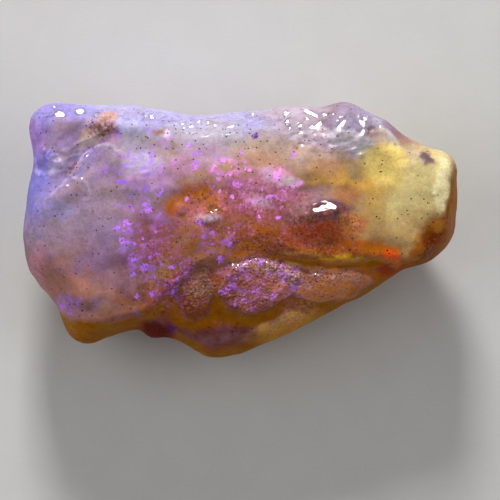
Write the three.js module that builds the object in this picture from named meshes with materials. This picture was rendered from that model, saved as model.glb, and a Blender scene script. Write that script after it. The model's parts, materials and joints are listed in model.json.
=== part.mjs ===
// Rough fire opal: one solid, water-worn piece of milky opal that lies on its broad broken face.
// Units are millimetres. +Z is up, +X runs along the stone towards its cream end, and the origin
// is on the ground below the middle of the stone.
//
// The rim is the line where the stone is widest. The points of a sphere are spread over the plan
// inside it: those above the rim rise to the top face, those below sink to the underside, and what
// falls below the ground is pressed flat into the resting face.
import * as THREE from 'three';
import { ImprovedNoise } from 'three/addons/math/ImprovedNoise.js';
import { mergeVertices } from 'three/addons/utils/BufferGeometryUtils.js';

// Driving dimensions.
const LENGTH = 38; // along X
const WIDTH = 22.5; // along Y
const CROWN = 11.9; // the top face's highest level above the ground
const END_DROP = 0.9; // how much lower the top face is at the two ends
const FRONT_DROP = 1.5; // how much lower it is along the front edge
const LIP_STEP = 0.5; // down from the main body's lip to the ledge in front of it
const LEDGE_STEP = 0.7; // down from the ledge to the low lobe
const SHELF_STEP = 0.65; // down from the sloping shelf beside the ledge to the low lobe
const UNDERSIDE_SINK = 0.7; // how far the underside would reach below the ground
const UNDERSIDE_ROUND = 8; // how far in from the rim the underside still curves

const SPHERE_DETAIL = 20; // 20 * (detail + 1)^2 triangles
const TOP_SHARE = 0.62; // how much of the sphere's height angle goes to the top face
const RIM_SAMPLES = 420;
const RIM_CALM = 8; // the higher, the closer to the rim the lumps start
const SWELL_SPREAD = 1.4; // a swell fades out at this many times its half length and half width
const OCTAVE_SHIFT = 11.3; // sets the lumps of one wavelength apart from those of the next
const MERGE_WITHIN = 1e-5;

// The rim as a closed line, anticlockwise from the cream end: x, y, and its height above the ground.
const RIM = [
  [18.9, 3.7, 6.2], [19.0, 5.1, 6.6], [18.6, 6.4, 7.0], [17.8, 6.95, 7.1], // cream end's round corner
  [16.4, 7.25, 7.2], [14.8, 7.95, 7.2], [13.6, 8.9, 7.3], [12.6, 9.7, 7.4], // shoulder
  [11.5, 10.1, 7.5], [10.2, 10.9, 7.7], [9.3, 11.25, 7.8], [8.2, 11.1, 7.7], // peak
  [7.1, 10.7, 7.5], [5.7, 10.85, 7.5], [3.0, 10.65, 7.4], [0.0, 10.35, 7.4], // long back edge
  [-2.7, 10.05, 7.4], [-5.1, 10.15, 7.3], [-6.4, 10.5, 7.3], [-7.9, 10.7, 7.3],
  [-9.0, 10.95, 7.3], [-10.6, 10.95, 7.3], [-12.6, 10.9, 7.4], [-15.3, 11.1, 7.4],
  [-16.9, 11.1, 7.4], [-17.95, 10.55, 7.4], [-18.45, 9.6, 7.3], [-18.5, 8.7, 7.2], // blue corner
  [-18.3, 7.8, 7.1], [-18.05, 6.5, 7.0], [-18.2, 5.1, 6.8], [-18.5, 3.6, 6.6], // blue end
  [-18.8, 1.8, 6.5], [-18.95, -0.3, 6.4], [-18.85, -1.8, 6.3], [-18.5, -3.5, 6.2],
  [-17.8, -4.5, 6.1], [-17.0, -5.4, 6.0], [-16.2, -6.3, 5.9], [-15.6, -7.8, 5.8],
  [-15.0, -9.2, 5.7], [-14.1, -9.85, 5.6], [-13.0, -9.95, 5.6], [-12.0, -9.5, 5.6], // left foot
  [-10.1, -8.9, 5.5], [-8.65, -8.6, 5.4], // notch
  [-8.2, -9.35, 5.2], [-7.4, -9.5, 5.1], [-6.45, -9.3, 5.1], [-5.3, -9.7, 5.2], // red nub
  [-4.25, -10.25, 5.2], [-3.2, -11.05, 5.1], [-2.1, -11.2, 5.0], [0.0, -10.8, 5.1], // low lobe
  [2.1, -9.95, 5.2], [4.2, -9.05, 5.3], [6.3, -7.95, 5.4], [9.1, -6.5, 5.4],
  [11.5, -5.3, 5.5], [13.3, -4.0, 5.5], [14.5, -3.3, 5.4], [16.1, -2.95, 5.2], // front right edge
  [17.4, -2.2, 4.9], [18.25, -1.3, 5.0], [18.7, -0.2, 5.3], [18.8, 1.4, 5.7], [18.95, 2.7, 6.0],
];

// How far in from the rim the top face still curves, by direction from the middle in degrees.
const EDGE_ROUND = [
  [-180, 2.4], [-160, 2.4], [-140, 1.7], [-125, 2.2], [-105, 3.2], [-60, 3.4], [-30, 2.6],
  [-12, 1.6], [0, 1.1], [16, 1.2], [30, 2.2], [60, 2.8], [120, 2.8], [150, 2.4], [180, 2.4],
];

// The lower lip of the main body, from left to right; the stone steps down in front of it.
const LIP = [
  [-22, -9.6], [-8.8, -8.6], [-7.9, -7.4], [-6.4, -5.9], [-4.4, -3.5], [-2.4, -2.8], [-0.7, -2.4],
  [0.5, -1.7], [1.9, -1.5], [3.8, -2.0], [4.9, -2.4], [6.2, -2.5], [8.2, -3.1], [9.3, -2.9],
  [10.5, -2.5], [12.1, -2.5], [13.4, -2.9], [14.2, -3.4], [22, -3.6],
];
const LIP_WIDTH = 0.9;

// The ledge below the lip, and the shelf to its left, as closed outlines.
const LEDGE = [
  [-2.1, -3.2], [-0.6, -3.0], [1.9, -2.5], [3.6, -3.0], [5.4, -3.8], [7.8, -4.0], [9.5, -3.5],
  [10.8, -4.1], [11.0, -5.2], [9.5, -5.9], [7.2, -6.2], [5.8, -5.9], [4.2, -5.3], [3.1, -6.3],
  [1.9, -7.3], [-0.6, -7.1], [-1.4, -6.7], [-1.9, -5.2],
];
const LEDGE_WIDTH = 0.9;
const SHELF = [
  [-4.8, -3.5], [-5.6, -5.0], [-4.9, -6.7], [-3.9, -7.4], [-2.9, -7.2], [-2.4, -6.0], [-2.2, -4.6],
  [-2.4, -2.8],
];
const SHELF_WIDTH = 1.8;

// Rounded swellings and hollows of the top face: x, y, half length, half width, turn in degrees,
// and height, which is negative for a hollow.
const SWELLS = {
  scoop: [-13.7, 7.2, 4.0, 2.0, 30, -1.0],
  scoop_floor_dent: [-12.0, 8.0, 1.3, 1.0, 0, -0.3],
  blue_dimple: [-17.2, 5.2, 0.9, 0.8, 0, -0.4],
  brow: [-8.2, 5.3, 2.6, 1.5, 10, 0.5],
  brow_foot: [-9.5, 2.8, 3.0, 1.2, 5, -0.3],
  orange_hollow: [-4.4, 2.1, 3.0, 1.6, 10, -0.55],
  pale_bead: [-2.7, 1.2, 1.1, 0.7, 0, 0.35],
  middle_rise: [1.0, 4.6, 4.5, 2.2, -12, 0.4],
  amber_pocket: [0.6, -1.7, 1.6, 0.8, 18, -0.45],
  knob: [7.1, 1.5, 2.4, 1.7, 8, 1.15],
  knob_foot: [7.2, -0.9, 3.2, 1.2, 8, -0.4],
  knob_back: [6.6, 3.9, 2.8, 1.0, 8, -0.3],
  peak_swell: [9.4, 9.4, 2.4, 2.0, 0, 0.6],
  wave_hollow: [5.6, 8.6, 2.0, 1.4, 0, -0.35],
  gold_saddle: [11.5, 4.8, 4.0, 3.0, -20, -0.5],
  cream_swell: [16.6, 3.4, 2.8, 3.2, 0, 0.75],
  shoulder_dent: [14.4, 6.4, 0.8, 0.6, 0, -0.3],
  rust_hollow: [13.2, -1.8, 2.3, 1.0, -10, -0.5],
  brown_hollow: [17.4, -1.5, 1.2, 1.4, 45, -1.3],
  brown_slope: [13.4, -3.8, 1.6, 0.9, 20, -0.5],
  lower_left_swell: [-14.0, -5.8, 1.6, 1.1, 0, 0.35],
  left_plain: [-14.5, 1.0, 5.0, 5.5, 0, 0.35],
  lobe_swell: [3.9, -8.2, 2.8, 1.1, 25, 0.4],
  nub_saddle: [-7.3, -8.9, 1.4, 1.2, 0, -1.1],
};

// Narrow crests and grooves of the top face: height (negative for a groove), half width, points.
const SEAMS = {
  upper_ridge: [0.35, 0.8, [[-10.6, 9.6], [-12.3, 8.3], [-14.6, 7.4], [-16.4, 6.6]]],
  lower_ridge: [0.45, 0.85, [[-10.9, 6.6], [-13.0, 5.6], [-14.5, 4.1], [-15.8, 2.9], [-17.2, 2.2]]],
  ridge_groove: [-0.35, 0.8, [[-11.8, 7.4], [-13.8, 6.4], [-15.3, 4.9], [-17.1, 3.7]]],
  crevice: [-0.15, 0.55, [[2.6, -2.4], [4.9, -3.1], [7.3, -3.6], [9.2, -3.3], [11.2, -3.2]]],
  ledge_foot: [-0.25, 0.6, [[-2.3, -5.6], [-1.9, -7.4], [1.9, -7.8], [4.1, -5.9], [7.4, -6.6]]],
  front_left_brow: [0.35, 0.6, [[-15.0, -8.0], [-13.0, -8.5], [-10.8, -7.9], [-9.0, -7.4]]],
};

// Broken faces of the sides and the underside: a plane's outward normal and its distance from
// FACET_CENTRE. Points beyond a plane are pressed back on to it, softly.
const FACET_CENTRE = new THREE.Vector3(0, 0, 5.5);
const FACET_HOLD = 0.9;
const FACETS = {
  back_slab: [[0.12, 0.75, -0.65], 8.2],
  back_left_slab: [[-0.45, 0.6, -0.66], 12.7],
  blue_end_slab: [[-0.76, -0.1, -0.65], 14.2],
  left_foot_slab: [[-0.45, -0.6, -0.66], 12.5],
  front_slab: [[0.1, -0.72, -0.68], 8.9],
  front_right_slab: [[0.5, -0.55, -0.67], 9.6],
  cream_end_slab: [[0.75, 0.1, -0.65], 14.4],
  back_right_slab: [[0.5, 0.55, -0.67], 11.3],
};

// Shell-shaped scars of the sides and the underside: the middle and radius of the ball that fits
// the hollow.
const SCARS = {
  back_shell: [[-5, 22.5, -0.5], 14.6],
  back_right_shell: [[13, 15.5, -2.5], 9.8],
  blue_end_shell: [[-25.5, 4, -1], 10.2],
  cream_end_shell: [[24.5, 0, -3], 9.4],
  front_shell: [[-9.5, -17, -3.5], 9.6],
  front_right_shell: [[10, -13, -4], 9.6],
};

// Lumps all over, as octaves of noise: wavelength and height.
const LUMPS = [[7.5, 0.55], [3.4, 0.26], [1.7, 0.13]];

// The glossy ripples beside the peak.
const RIPPLES = { x: 9.0, y: 8.9, reach: 5, flatten: 1.8, wavelength: 1.5, height: 0.5 };

const noise = new ImprovedNoise();
const { clamp, degToRad, lerp, radToDeg, smoothstep } = THREE.MathUtils;

/** The points of a list as plane vectors. */
const planePoints = (list) => list.map(([x, y]) => new THREE.Vector2(x, y));

/** The distance from a point to a line through points, which closes on itself if asked. */
function distanceToLine(point, line, closed = false) {
  let nearest = Infinity;
  const last = closed ? line.length : line.length - 1;
  for (let i = 0; i < last; i++) {
    const start = line[i];
    const along = line[(i + 1) % line.length].clone().sub(start);
    const offset = point.clone().sub(start);
    const share = clamp(offset.dot(along) / along.lengthSq(), 0, 1);
    nearest = Math.min(nearest, offset.distanceTo(along.multiplyScalar(share)));
  }
  return nearest;
}

/** True where a point is inside a closed line. */
function isInside(point, line) {
  let inside = false;
  line.forEach((a, i) => {
    const b = line[(i + 1) % line.length];
    if (a.y > point.y === b.y > point.y) return;
    if (point.x < a.x + ((b.x - a.x) * (point.y - a.y)) / (b.y - a.y)) inside = !inside;
  });
  return inside;
}

/** 1 on a plate with this outline, 0 off it, with a soft edge of the given width. */
function plate(point, outline, width) {
  const distance = distanceToLine(point, outline, true) * (isInside(point, outline) ? 1 : -1);
  return smoothstep(distance, -width / 2, width / 2);
}

/** 1 behind a line that runs from left to right, 0 in front of it, with a soft edge. */
function behind(point, line, width) {
  const next = Math.max(1, line.findIndex((p) => p.x > point.x));
  const [a, b] = [line[next - 1], line[next]];
  const height = lerp(a.y, b.y, (point.x - a.x) / (b.x - a.x));
  const distance = distanceToLine(point, line) * Math.sign(point.y - height);
  return smoothstep(distance, -width / 2, width / 2);
}

/** The height that a swell adds at a point: a smooth bell that ends at its own edge. */
function swell(point, [x, y, halfLength, halfWidth, turn, height]) {
  const p = point.clone().sub(new THREE.Vector2(x, y));
  p.rotateAround(new THREE.Vector2(), -degToRad(turn));
  const reach = Math.hypot(p.x / halfLength, p.y / halfWidth) / SWELL_SPREAD;
  return reach < 1 ? height * (1 - reach * reach) ** 2 : 0;
}

/** The height that a crest or groove adds at a point. */
function seam(point, [height, halfWidth, points]) {
  const distance = distanceToLine(point, points);
  return height * Math.exp(-((distance / halfWidth) ** 2));
}

/** A value between the stations of a list of [place, value] pairs. */
function alongStations(stations, place) {
  const next = Math.max(1, stations.findIndex(([at]) => at > place));
  const [[a, low], [b, high]] = [stations[next - 1], stations[next]];
  return lerp(low, high, smoothstep((place - a) / (b - a), 0, 1));
}

/** The height of the top face above the ground, away from the rim. */
function topFace(point) {
  const ends = (2 * point.x / LENGTH) ** 2;
  const front = smoothstep(-point.y, 0, WIDTH / 2);
  const lower = 1 - behind(point, lip, LIP_WIDTH);
  let height = CROWN - END_DROP * ends - FRONT_DROP * front - (LIP_STEP + LEDGE_STEP) * lower;
  height += LEDGE_STEP * lower * plate(point, ledge, LEDGE_WIDTH);
  height += SHELF_STEP * lower * plate(point, shelf, SHELF_WIDTH);
  for (const shape of Object.values(SWELLS)) height += swell(point, shape);
  for (const shape of seams) height += seam(point, shape);
  return height + ripples(point);
}

/** The glossy ripples near the peak. */
function ripples({ x, y }) {
  const reach = Math.hypot(x - RIPPLES.x, (y - RIPPLES.y) * RIPPLES.flatten) / RIPPLES.reach;
  if (reach > 1) return 0;
  return RIPPLES.height * (1 - reach) * noise.noise(x / RIPPLES.wavelength, y / RIPPLES.wavelength, 0);
}

/** The lumps at a point, from all octaves. */
function lumps(point) {
  let height = 0;
  LUMPS.forEach(([wavelength, size], octave) => {
    const p = point.clone().divideScalar(wavelength).addScalar(octave * OCTAVE_SHIFT);
    height += size * noise.noise(p.x, p.y, p.z);
  });
  return height;
}

/** How far a point of the top or underside has risen from the rim, from 0 at the rim to 1. */
function roundOver(distance, width) {
  return Math.sqrt(1 - (1 - Math.min(1, distance / width)) ** 2);
}

/** Presses what reaches beyond each broken face back on to it, and hollows out the scars. */
function breakFaces(point) {
  for (const { normal, distance } of facets) {
    const beyond = point.clone().sub(FACET_CENTRE).dot(normal) - distance;
    if (beyond > 0) point.addScaledVector(normal, -beyond * FACET_HOLD);
  }
  for (const { centre, radius } of scars) {
    if (point.distanceTo(centre) < radius) point.sub(centre).setLength(radius).add(centre);
  }
}

/** The place on the stone for a direction from the middle of the sphere. */
function placeOnStone(direction) {
  const turn = Math.atan2(direction.y, direction.x) / (2 * Math.PI);
  const rimPoint = rimCurve.getPointAt((turn + 1) % 1);
  const fromTop = Math.acos(clamp(direction.z, -1, 1)) / Math.PI;
  const isTop = fromTop < TOP_SHARE;
  const share = isTop ? fromTop / TOP_SHARE : (1 - fromTop) / (1 - TOP_SHARE);
  const spread = Math.sin((share * Math.PI) / 2);
  const plan = new THREE.Vector2(rimPoint.x, rimPoint.y).multiplyScalar(spread);
  const toRim = distanceToLine(plan, rimLine, true);
  const angle = radToDeg(Math.atan2(plan.y, plan.x));
  const height = isTop
    ? lerp(rimPoint.z, topFace(plan), roundOver(toRim, alongStations(EDGE_ROUND, angle)))
    : lerp(rimPoint.z, -UNDERSIDE_SINK, roundOver(toRim, UNDERSIDE_ROUND));
  const point = new THREE.Vector3(plan.x, plan.y, height);
  breakFaces(point);
  return point.addScaledVector(direction, lumps(point) * (1 - spread ** RIM_CALM));
}

/** Fits a geometry to the stone's length and width, centres it and presses its base flat. */
function settle(geometry) {
  geometry.computeBoundingBox();
  const size = geometry.boundingBox.getSize(new THREE.Vector3());
  const middle = geometry.boundingBox.getCenter(new THREE.Vector3());
  geometry.translate(-middle.x, -middle.y, 0);
  geometry.scale(LENGTH / size.x, WIDTH / size.y, 1);
  const { position } = geometry.attributes;
  for (let i = 0; i < position.count; i++) position.setZ(i, Math.max(0, position.getZ(i)));
}

/** The whole stone as one closed geometry. */
function makeStone() {
  const sphere = new THREE.IcosahedronGeometry(1, SPHERE_DETAIL);
  sphere.deleteAttribute('normal');
  sphere.deleteAttribute('uv');
  const stone = mergeVertices(sphere, MERGE_WITHIN);
  const { position } = stone.attributes;
  for (let i = 0; i < position.count; i++) {
    const point = placeOnStone(new THREE.Vector3().fromBufferAttribute(position, i));
    position.setXYZ(i, point.x, point.y, point.z);
  }
  settle(stone);
  stone.computeVertexNormals();
  return stone;
}

const rimCurve = new THREE.CatmullRomCurve3(
  RIM.map((p) => new THREE.Vector3(...p)), true, 'centripetal',
);
const rimLine = planePoints(rimCurve.getSpacedPoints(RIM_SAMPLES).slice(1).map((p) => [p.x, p.y]));
const lip = planePoints(LIP);
const ledge = planePoints(LEDGE);
const shelf = planePoints(SHELF);
const seams = Object.values(SEAMS).map(([height, width, line]) => [height, width, planePoints(line)]);
const facets = Object.values(FACETS).map(([normal, distance]) => ({
  normal: new THREE.Vector3(...normal).normalize(), distance,
}));
const scars = Object.values(SCARS).map(([centre, radius]) => ({
  centre: new THREE.Vector3(...centre), radius,
}));

const opal = new THREE.Mesh(
  makeStone(),
  new THREE.MeshStandardMaterial({ name: 'opal', color: 0xb08a86, roughness: 0.2, metalness: 0 }),
);
opal.name = 'opal';

const part = new THREE.Group();
part.add(opal);

export default part;
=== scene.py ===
"""Rough fire opal, lying on its broken underside: the stone's fine surface, its finish and a plain studio.

Lengths are millimetres in the dataclasses, unless they say otherwise, and become metres where they
reach Blender. X runs along the stone from its blue end to its cream end, Y from its amber front edge
to its pale back edge, and Z up out of its top face.
"""

import json
import logging
import math
from dataclasses import dataclass, field
from enum import Enum
from functools import reduce

import bpy
import numpy as np
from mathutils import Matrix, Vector, noise

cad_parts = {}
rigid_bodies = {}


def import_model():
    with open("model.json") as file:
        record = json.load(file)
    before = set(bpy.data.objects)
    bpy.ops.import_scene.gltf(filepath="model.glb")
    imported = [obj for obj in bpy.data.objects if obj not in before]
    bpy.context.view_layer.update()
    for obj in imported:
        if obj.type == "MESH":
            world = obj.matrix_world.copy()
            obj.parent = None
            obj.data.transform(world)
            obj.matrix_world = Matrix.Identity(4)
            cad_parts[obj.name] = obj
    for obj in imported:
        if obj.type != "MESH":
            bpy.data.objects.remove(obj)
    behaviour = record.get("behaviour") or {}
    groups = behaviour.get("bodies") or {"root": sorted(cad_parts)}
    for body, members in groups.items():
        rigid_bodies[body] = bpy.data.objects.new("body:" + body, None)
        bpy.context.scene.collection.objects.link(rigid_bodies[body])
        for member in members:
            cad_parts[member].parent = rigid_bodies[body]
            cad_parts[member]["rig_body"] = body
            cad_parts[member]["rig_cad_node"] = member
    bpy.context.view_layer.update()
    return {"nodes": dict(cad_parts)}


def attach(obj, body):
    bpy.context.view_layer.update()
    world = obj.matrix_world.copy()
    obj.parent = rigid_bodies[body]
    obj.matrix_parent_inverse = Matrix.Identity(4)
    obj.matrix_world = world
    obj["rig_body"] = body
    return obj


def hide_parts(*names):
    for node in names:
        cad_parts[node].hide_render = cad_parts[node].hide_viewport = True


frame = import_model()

LOG = logging.getLogger("opal")
MM = 0.001
SOLID = "opal"  # the stone's solid in the frame
MERGE_DISTANCE = 1e-6  # in metres
WEIGHT_LEVELS = 100  # how many steps a vertex group's weights are rounded to
TOP_FADE = 2  # a zone of the top is full where normals point up by at least 1 / TOP_FADE

Rgb = tuple[int, int, int]
Point = tuple[float, float]
Triple = tuple[float, float, float]
Socket = bpy.types.NodeSocket

BLACK: Rgb = (0, 0, 0)


# ---------------------------------------------------------------- shapes in plan


class Zone(Enum):
    """The stretches of surface that have a relief or a finish of their own."""

    SKIN = "skin"
    BACK_BAND = "back_band"
    WAVES = "waves"
    DRUSY = "drusy"
    SCOOP = "scoop"
    CRESTS = "crests"
    DIMPLE = "dimple"
    LIP = "lip"
    TRENCH = "trench"
    LEDGE_RIM = "ledge_rim"
    PLATE_EDGE = "plate_edge"
    CLEAR = "clear"
    KNOB_COLLAR = "knob_collar"
    BEAD = "bead"
    END_CREST = "end_crest"
    PEPPER = "pepper"
    HEART = "heart"
    RUSTY = "rusty"
    DIRT = "dirt"
    PLATES = "plates"
    FLAKES = "flakes"
    PLAY = "play"
    PINK = "pink"
    GLINTS = "glints"
    FACE = "face"
    POLISH = "polish"


class Coat(Enum):
    """The stone's two coats of stains and painted light: in the milky body, and over the clear amber."""

    BODY = "body_stains"
    FRONT = "front_stains"


@dataclass(frozen=True)
class Patch:
    """An oval in plan.

    Attributes:
        middle: its middle.
        radii: its half length and half width.
        turn: its turn from X, in degrees.
        softness: the share of its radius over which it fades out.
    """

    middle: Point
    radii: Point
    turn: float = 0.0
    softness: float = 0.6

    @property
    def extent(self) -> float:
        """How far from its middle it can reach."""
        return 2 * max(self.radii)

    def weight(self, plan: np.ndarray) -> np.ndarray:
        """How much each point belongs to the oval.

        Args:
            plan: the points, one row each.

        Returns:
            A weight from 0 to 1 for each point.
        """
        turn = math.radians(self.turn)
        offset = plan - np.array(self.middle)
        along = offset[:, 0] * math.cos(turn) + offset[:, 1] * math.sin(turn)
        across = offset[:, 1] * math.cos(turn) - offset[:, 0] * math.sin(turn)
        reach = np.hypot(along / self.radii[0], across / self.radii[1])
        return smooth_step((1 + self.softness / 2 - reach) / self.softness)


@dataclass(frozen=True)
class ColourOval(Patch):
    """An oval of colour that runs through the stone from top to bottom.

    Attributes:
        colour: its colour as displayed.
        strength: how much of the colour below it hides.
    """

    colour: Rgb = BLACK
    strength: float = 1.0

    @property
    def is_small(self) -> bool:
        """Whether it is too small to wander as far as the broad ones."""
        return min(self.radii) < 1.0


@dataclass(frozen=True)
class Track:
    """A line in plan with a soft width.

    Attributes:
        points: the line's points.
        half_width: how far from the line the weight has fallen to about a third.
        steepness: 2 for a bell across the line, more for a level band with steep sides.
    """

    points: tuple[Point, ...]
    half_width: float
    steepness: int = 2

    @property
    def middle(self) -> Point:
        """The line's middle point."""
        return self.points[len(self.points) // 2]

    @property
    def extent(self) -> float:
        """How far from its middle it can reach."""
        return max(math.dist(self.middle, point) for point in self.points) + 3 * self.half_width

    def weight(self, plan: np.ndarray) -> np.ndarray:
        """How much each row of points in plan belongs to the line, from 0 to 1."""
        away = distance_to_line(plan, self.points) / self.half_width
        return np.exp(-(away**self.steepness))


@dataclass(frozen=True)
class Sheet:
    """A closed outline in plan, with a soft edge.

    Attributes:
        outline: the outline's points in order.
        edge: the width over which the weight rises from 0 outside to 1 inside.
        reach: how far inside the outline the weight has fallen to about a third again.
    """

    outline: tuple[Point, ...]
    edge: float
    reach: float = math.inf

    def weight(self, plan: np.ndarray) -> np.ndarray:
        """How much each point belongs to the inside of the outline.

        Args:
            plan: the points, one row each.

        Returns:
            A weight from 0 to 1 for each point.
        """
        inside = np.zeros(len(plan), bool)
        corners = list(zip(self.outline, self.outline[1:] + self.outline[:1]))
        for (ax, ay), (bx, by) in corners:
            crosses = (ay > plan[:, 1]) != (by > plan[:, 1])
            with np.errstate(divide="ignore", invalid="ignore"):
                at = ax + (bx - ax) * (plan[:, 1] - ay) / (by - ay)
            inside ^= crosses & (plan[:, 0] < at)
        distance = distance_to_line(plan, self.outline + self.outline[:1])
        rise = smooth_step(0.5 + np.where(inside, distance, -distance) / self.edge)
        return rise * np.exp(-((distance / self.reach) ** 2))


Shape = Patch | Track | Sheet


def smooth_step(value: np.ndarray) -> np.ndarray:
    """Gives 0 for values below 0, 1 for values above 1, and a smooth rise between."""
    t = np.clip(value, 0, 1)
    return t * t * (3 - 2 * t)


def distance_to_line(plan: np.ndarray, line: tuple[Point, ...]) -> np.ndarray:
    """The distance of each point from a line through points.

    Args:
        plan: the points, one row each.
        line: the line's points.

    Returns:
        One distance for each point.
    """
    nearest = np.full(len(plan), np.inf)
    for start, end in zip(np.array(line[:-1]), np.array(line[1:])):
        along = end - start
        share = np.clip((plan - start) @ along / (along @ along), 0, 1)
        foot = start + share[:, None] * along
        nearest = np.minimum(nearest, np.linalg.norm(plan - foot, axis=1))
    return nearest


def joint_weight(shapes: tuple[Shape, ...], plan: np.ndarray) -> np.ndarray:
    """How much each row of points in plan belongs to any of some shapes, from 0 to 1."""
    return np.max([shape.weight(plan) for shape in shapes], axis=0)


# ---------------------------------------------------------------- the stone's surface


class Pattern(Enum):
    """The pattern of a relief: none for an even rise, or one of Blender's textures."""

    EVEN = ""
    CLOUDS = "CLOUDS"
    CELLS = "VORONOI"


@dataclass(frozen=True)
class Relief:
    """A change of height over one zone.

    Attributes:
        zone: where it acts.
        height: the rise, or the whole swing of a pattern.
        pattern: what varies it.
        size: the pattern's size.
    """

    zone: Zone
    height: float
    pattern: Pattern = Pattern.EVEN
    size: float = 1.0

    def texture(self) -> bpy.types.Texture:
        """The texture of its pattern.

        Returns:
            A new texture.
        """
        texture = bpy.data.textures.new(self.zone.value, self.pattern.value)
        texture.noise_scale = self.size * MM
        if self.pattern is Pattern.CLOUDS:
            texture.noise_depth = 1
        return texture


@dataclass(frozen=True)
class Chip:
    """A small polished flat in the skin, which catches the light.

    Attributes:
        shape: its shape in plan.
        sink: how far below the surface at its middle it lies.
        fill: the most that the surface rises to meet it.
    """

    shape: Patch | Track
    sink: float = 0.0
    fill: float = 0.2


@dataclass
class OpalStone:
    """The whole stone: a fine surface over the solid, and its finish.

    Attributes:
        voxel: the pitch of the fine surface.
        smoothing: the strength of one pass of smoothing, and how many passes there are.
        base_guard: the height above the ground below which nothing is carved, and the share of it
            that is left out at its foot.
        face_tilt: how far up a normal points where the top face starts, and over how much it grows.
        seed: which of its many wanderings the noise takes.
        wander: the size and the reach of the wandering of the carved lines.
        chip_wander: the same for the outlines of the chips.
        oval_wander: the same for the edges of the stains and the painted light, in two layers.
        far_wander: how much farther the broad ones' edges wander.
        glint_normal: which way the chips face.
        chip_tilt: how far up a normal points at least where a chip may lie.
        ground: the colour under the stains and the painted light.
        relief: the changes of height, in order.
        chips: the polished flats, cut after the relief.
        zones: the shapes of the zones in plan.
    """

    voxel: float = 0.168
    smoothing: tuple[float, int] = (0.5, 3)
    base_guard: Point = (0.5, 0.2)
    face_tilt: Point = (0.6, 0.2)
    seed: int = 4
    wander: Point = (1.6, 0.35)
    chip_wander: Point = (0.4, 0.18)
    oval_wander: tuple[Point, ...] = ((1.1, 0.4), (0.35, 0.2))
    far_wander: Point = (3.2, 1.2)
    glint_normal: Triple = (-0.05, 0.53, 0.85)
    chip_tilt: float = 0.2
    ground: Rgb = (150, 104, 100)
    relief: tuple[Relief, ...] = (
        Relief(Zone.SKIN, 0.18, Pattern.CLOUDS, 2.2),
        Relief(Zone.SKIN, 0.05, Pattern.CLOUDS, 0.8),
        Relief(Zone.WAVES, 0.06, Pattern.CLOUDS, 1.3),
        Relief(Zone.BACK_BAND, 0.09, Pattern.CLOUDS, 0.4),
        Relief(Zone.DRUSY, 0.12, Pattern.CELLS, 0.5),
        Relief(Zone.DRUSY, 0.09, Pattern.CLOUDS, 0.35),
        Relief(Zone.SCOOP, 0.35),
        Relief(Zone.SCOOP, 0.16, Pattern.CLOUDS, 1.1),
        Relief(Zone.CRESTS, 0.07),
        Relief(Zone.DIMPLE, -0.2),
        Relief(Zone.LIP, 0.12),
        Relief(Zone.LEDGE_RIM, 0.08),
        Relief(Zone.PLATE_EDGE, 0.11),
        Relief(Zone.KNOB_COLLAR, -0.10),
        Relief(Zone.BEAD, 0.22),
        Relief(Zone.END_CREST, 0.12),
    )
    chips: tuple[Chip, ...] = field(default_factory=lambda: CHIPS + small_glints())
    zones: dict[Zone, tuple[Shape, ...]] = field(default_factory=lambda: PLAN)

    def build(self) -> bpy.types.Object:
        """Makes the stone and dresses it.

        Returns:
            The finished piece.
        """
        noise.seed_set(self.seed)
        piece = self._copy_solid()
        self._refine(piece)
        self._mark_zones(piece)
        for relief in self.relief:
            self._carve(piece, relief)
        for chip in self.chips:
            self._flatten(piece, chip)
        plan = vertex_points(piece)[:, :2]
        mark(piece, Zone.POLISH, joint_weight([chip.shape for chip in self.chips], plan))
        start, growth = self.face_tilt
        mark(piece, Zone.FACE, smooth_step((upward(piece) - start) / growth))
        self._lay_stains_and_painted_light(piece)
        select_only(piece)
        bpy.ops.object.shade_smooth()
        LOG.info("%d faces, lowest point %.3f", len(piece.data.polygons), vertex_points(piece)[:, 2].min())
        piece.data.materials.clear()
        piece.data.materials.append(OpalFinish().material())
        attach(piece, "root")
        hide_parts(SOLID)
        return piece

    def _copy_solid(self) -> bpy.types.Object:
        """A free copy of the solid, with its doubled points merged.

        Returns:
            The copy, selected and active.
        """
        select_only(frame["nodes"][SOLID])
        bpy.ops.object.duplicate()
        piece = bpy.context.object
        bpy.ops.object.parent_clear(type="CLEAR_KEEP_TRANSFORM")
        piece.name = piece.data.name = "opal_stone"
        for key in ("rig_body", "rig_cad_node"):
            del piece[key]
        bpy.ops.object.mode_set(mode="EDIT")
        bpy.ops.mesh.select_all(action="SELECT")
        bpy.ops.mesh.remove_doubles(threshold=MERGE_DISTANCE)
        bpy.ops.object.mode_set(mode="OBJECT")
        return piece

    def _refine(self, piece: bpy.types.Object) -> None:
        """Turns the faceted copy into a fine, even, smooth surface.

        Args:
            piece: the stone.
        """
        rounding = piece.modifiers.new("rounding", "SUBSURF")
        rounding.levels = rounding.render_levels = 1
        remesh = piece.modifiers.new("fine_skin", "REMESH")
        remesh.mode = "VOXEL"
        remesh.voxel_size = self.voxel * MM
        smooth = piece.modifiers.new("smooth_steps", "SMOOTH")
        smooth.factor, smooth.iterations = self.smoothing
        apply_modifiers(piece)

    def _mark_zones(self, piece: bpy.types.Object) -> None:
        """Gives each zone a vertex group with its weights.

        Args:
            piece: the stone.
        """
        points = vertex_points(piece)
        plan = points[:, :2] + wandering(points, self.wander)
        guard, foot = self.base_guard
        above_base = smooth_step(points[:, 2] / guard - foot)
        on_top = smooth_step(upward(piece) * TOP_FADE)
        mark(piece, Zone.SKIN, above_base)
        for zone, shapes in self.zones.items():
            facing = 1 if zone is Zone.CLEAR else on_top
            mark(piece, zone, above_base * joint_weight(shapes, plan) * facing)

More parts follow.
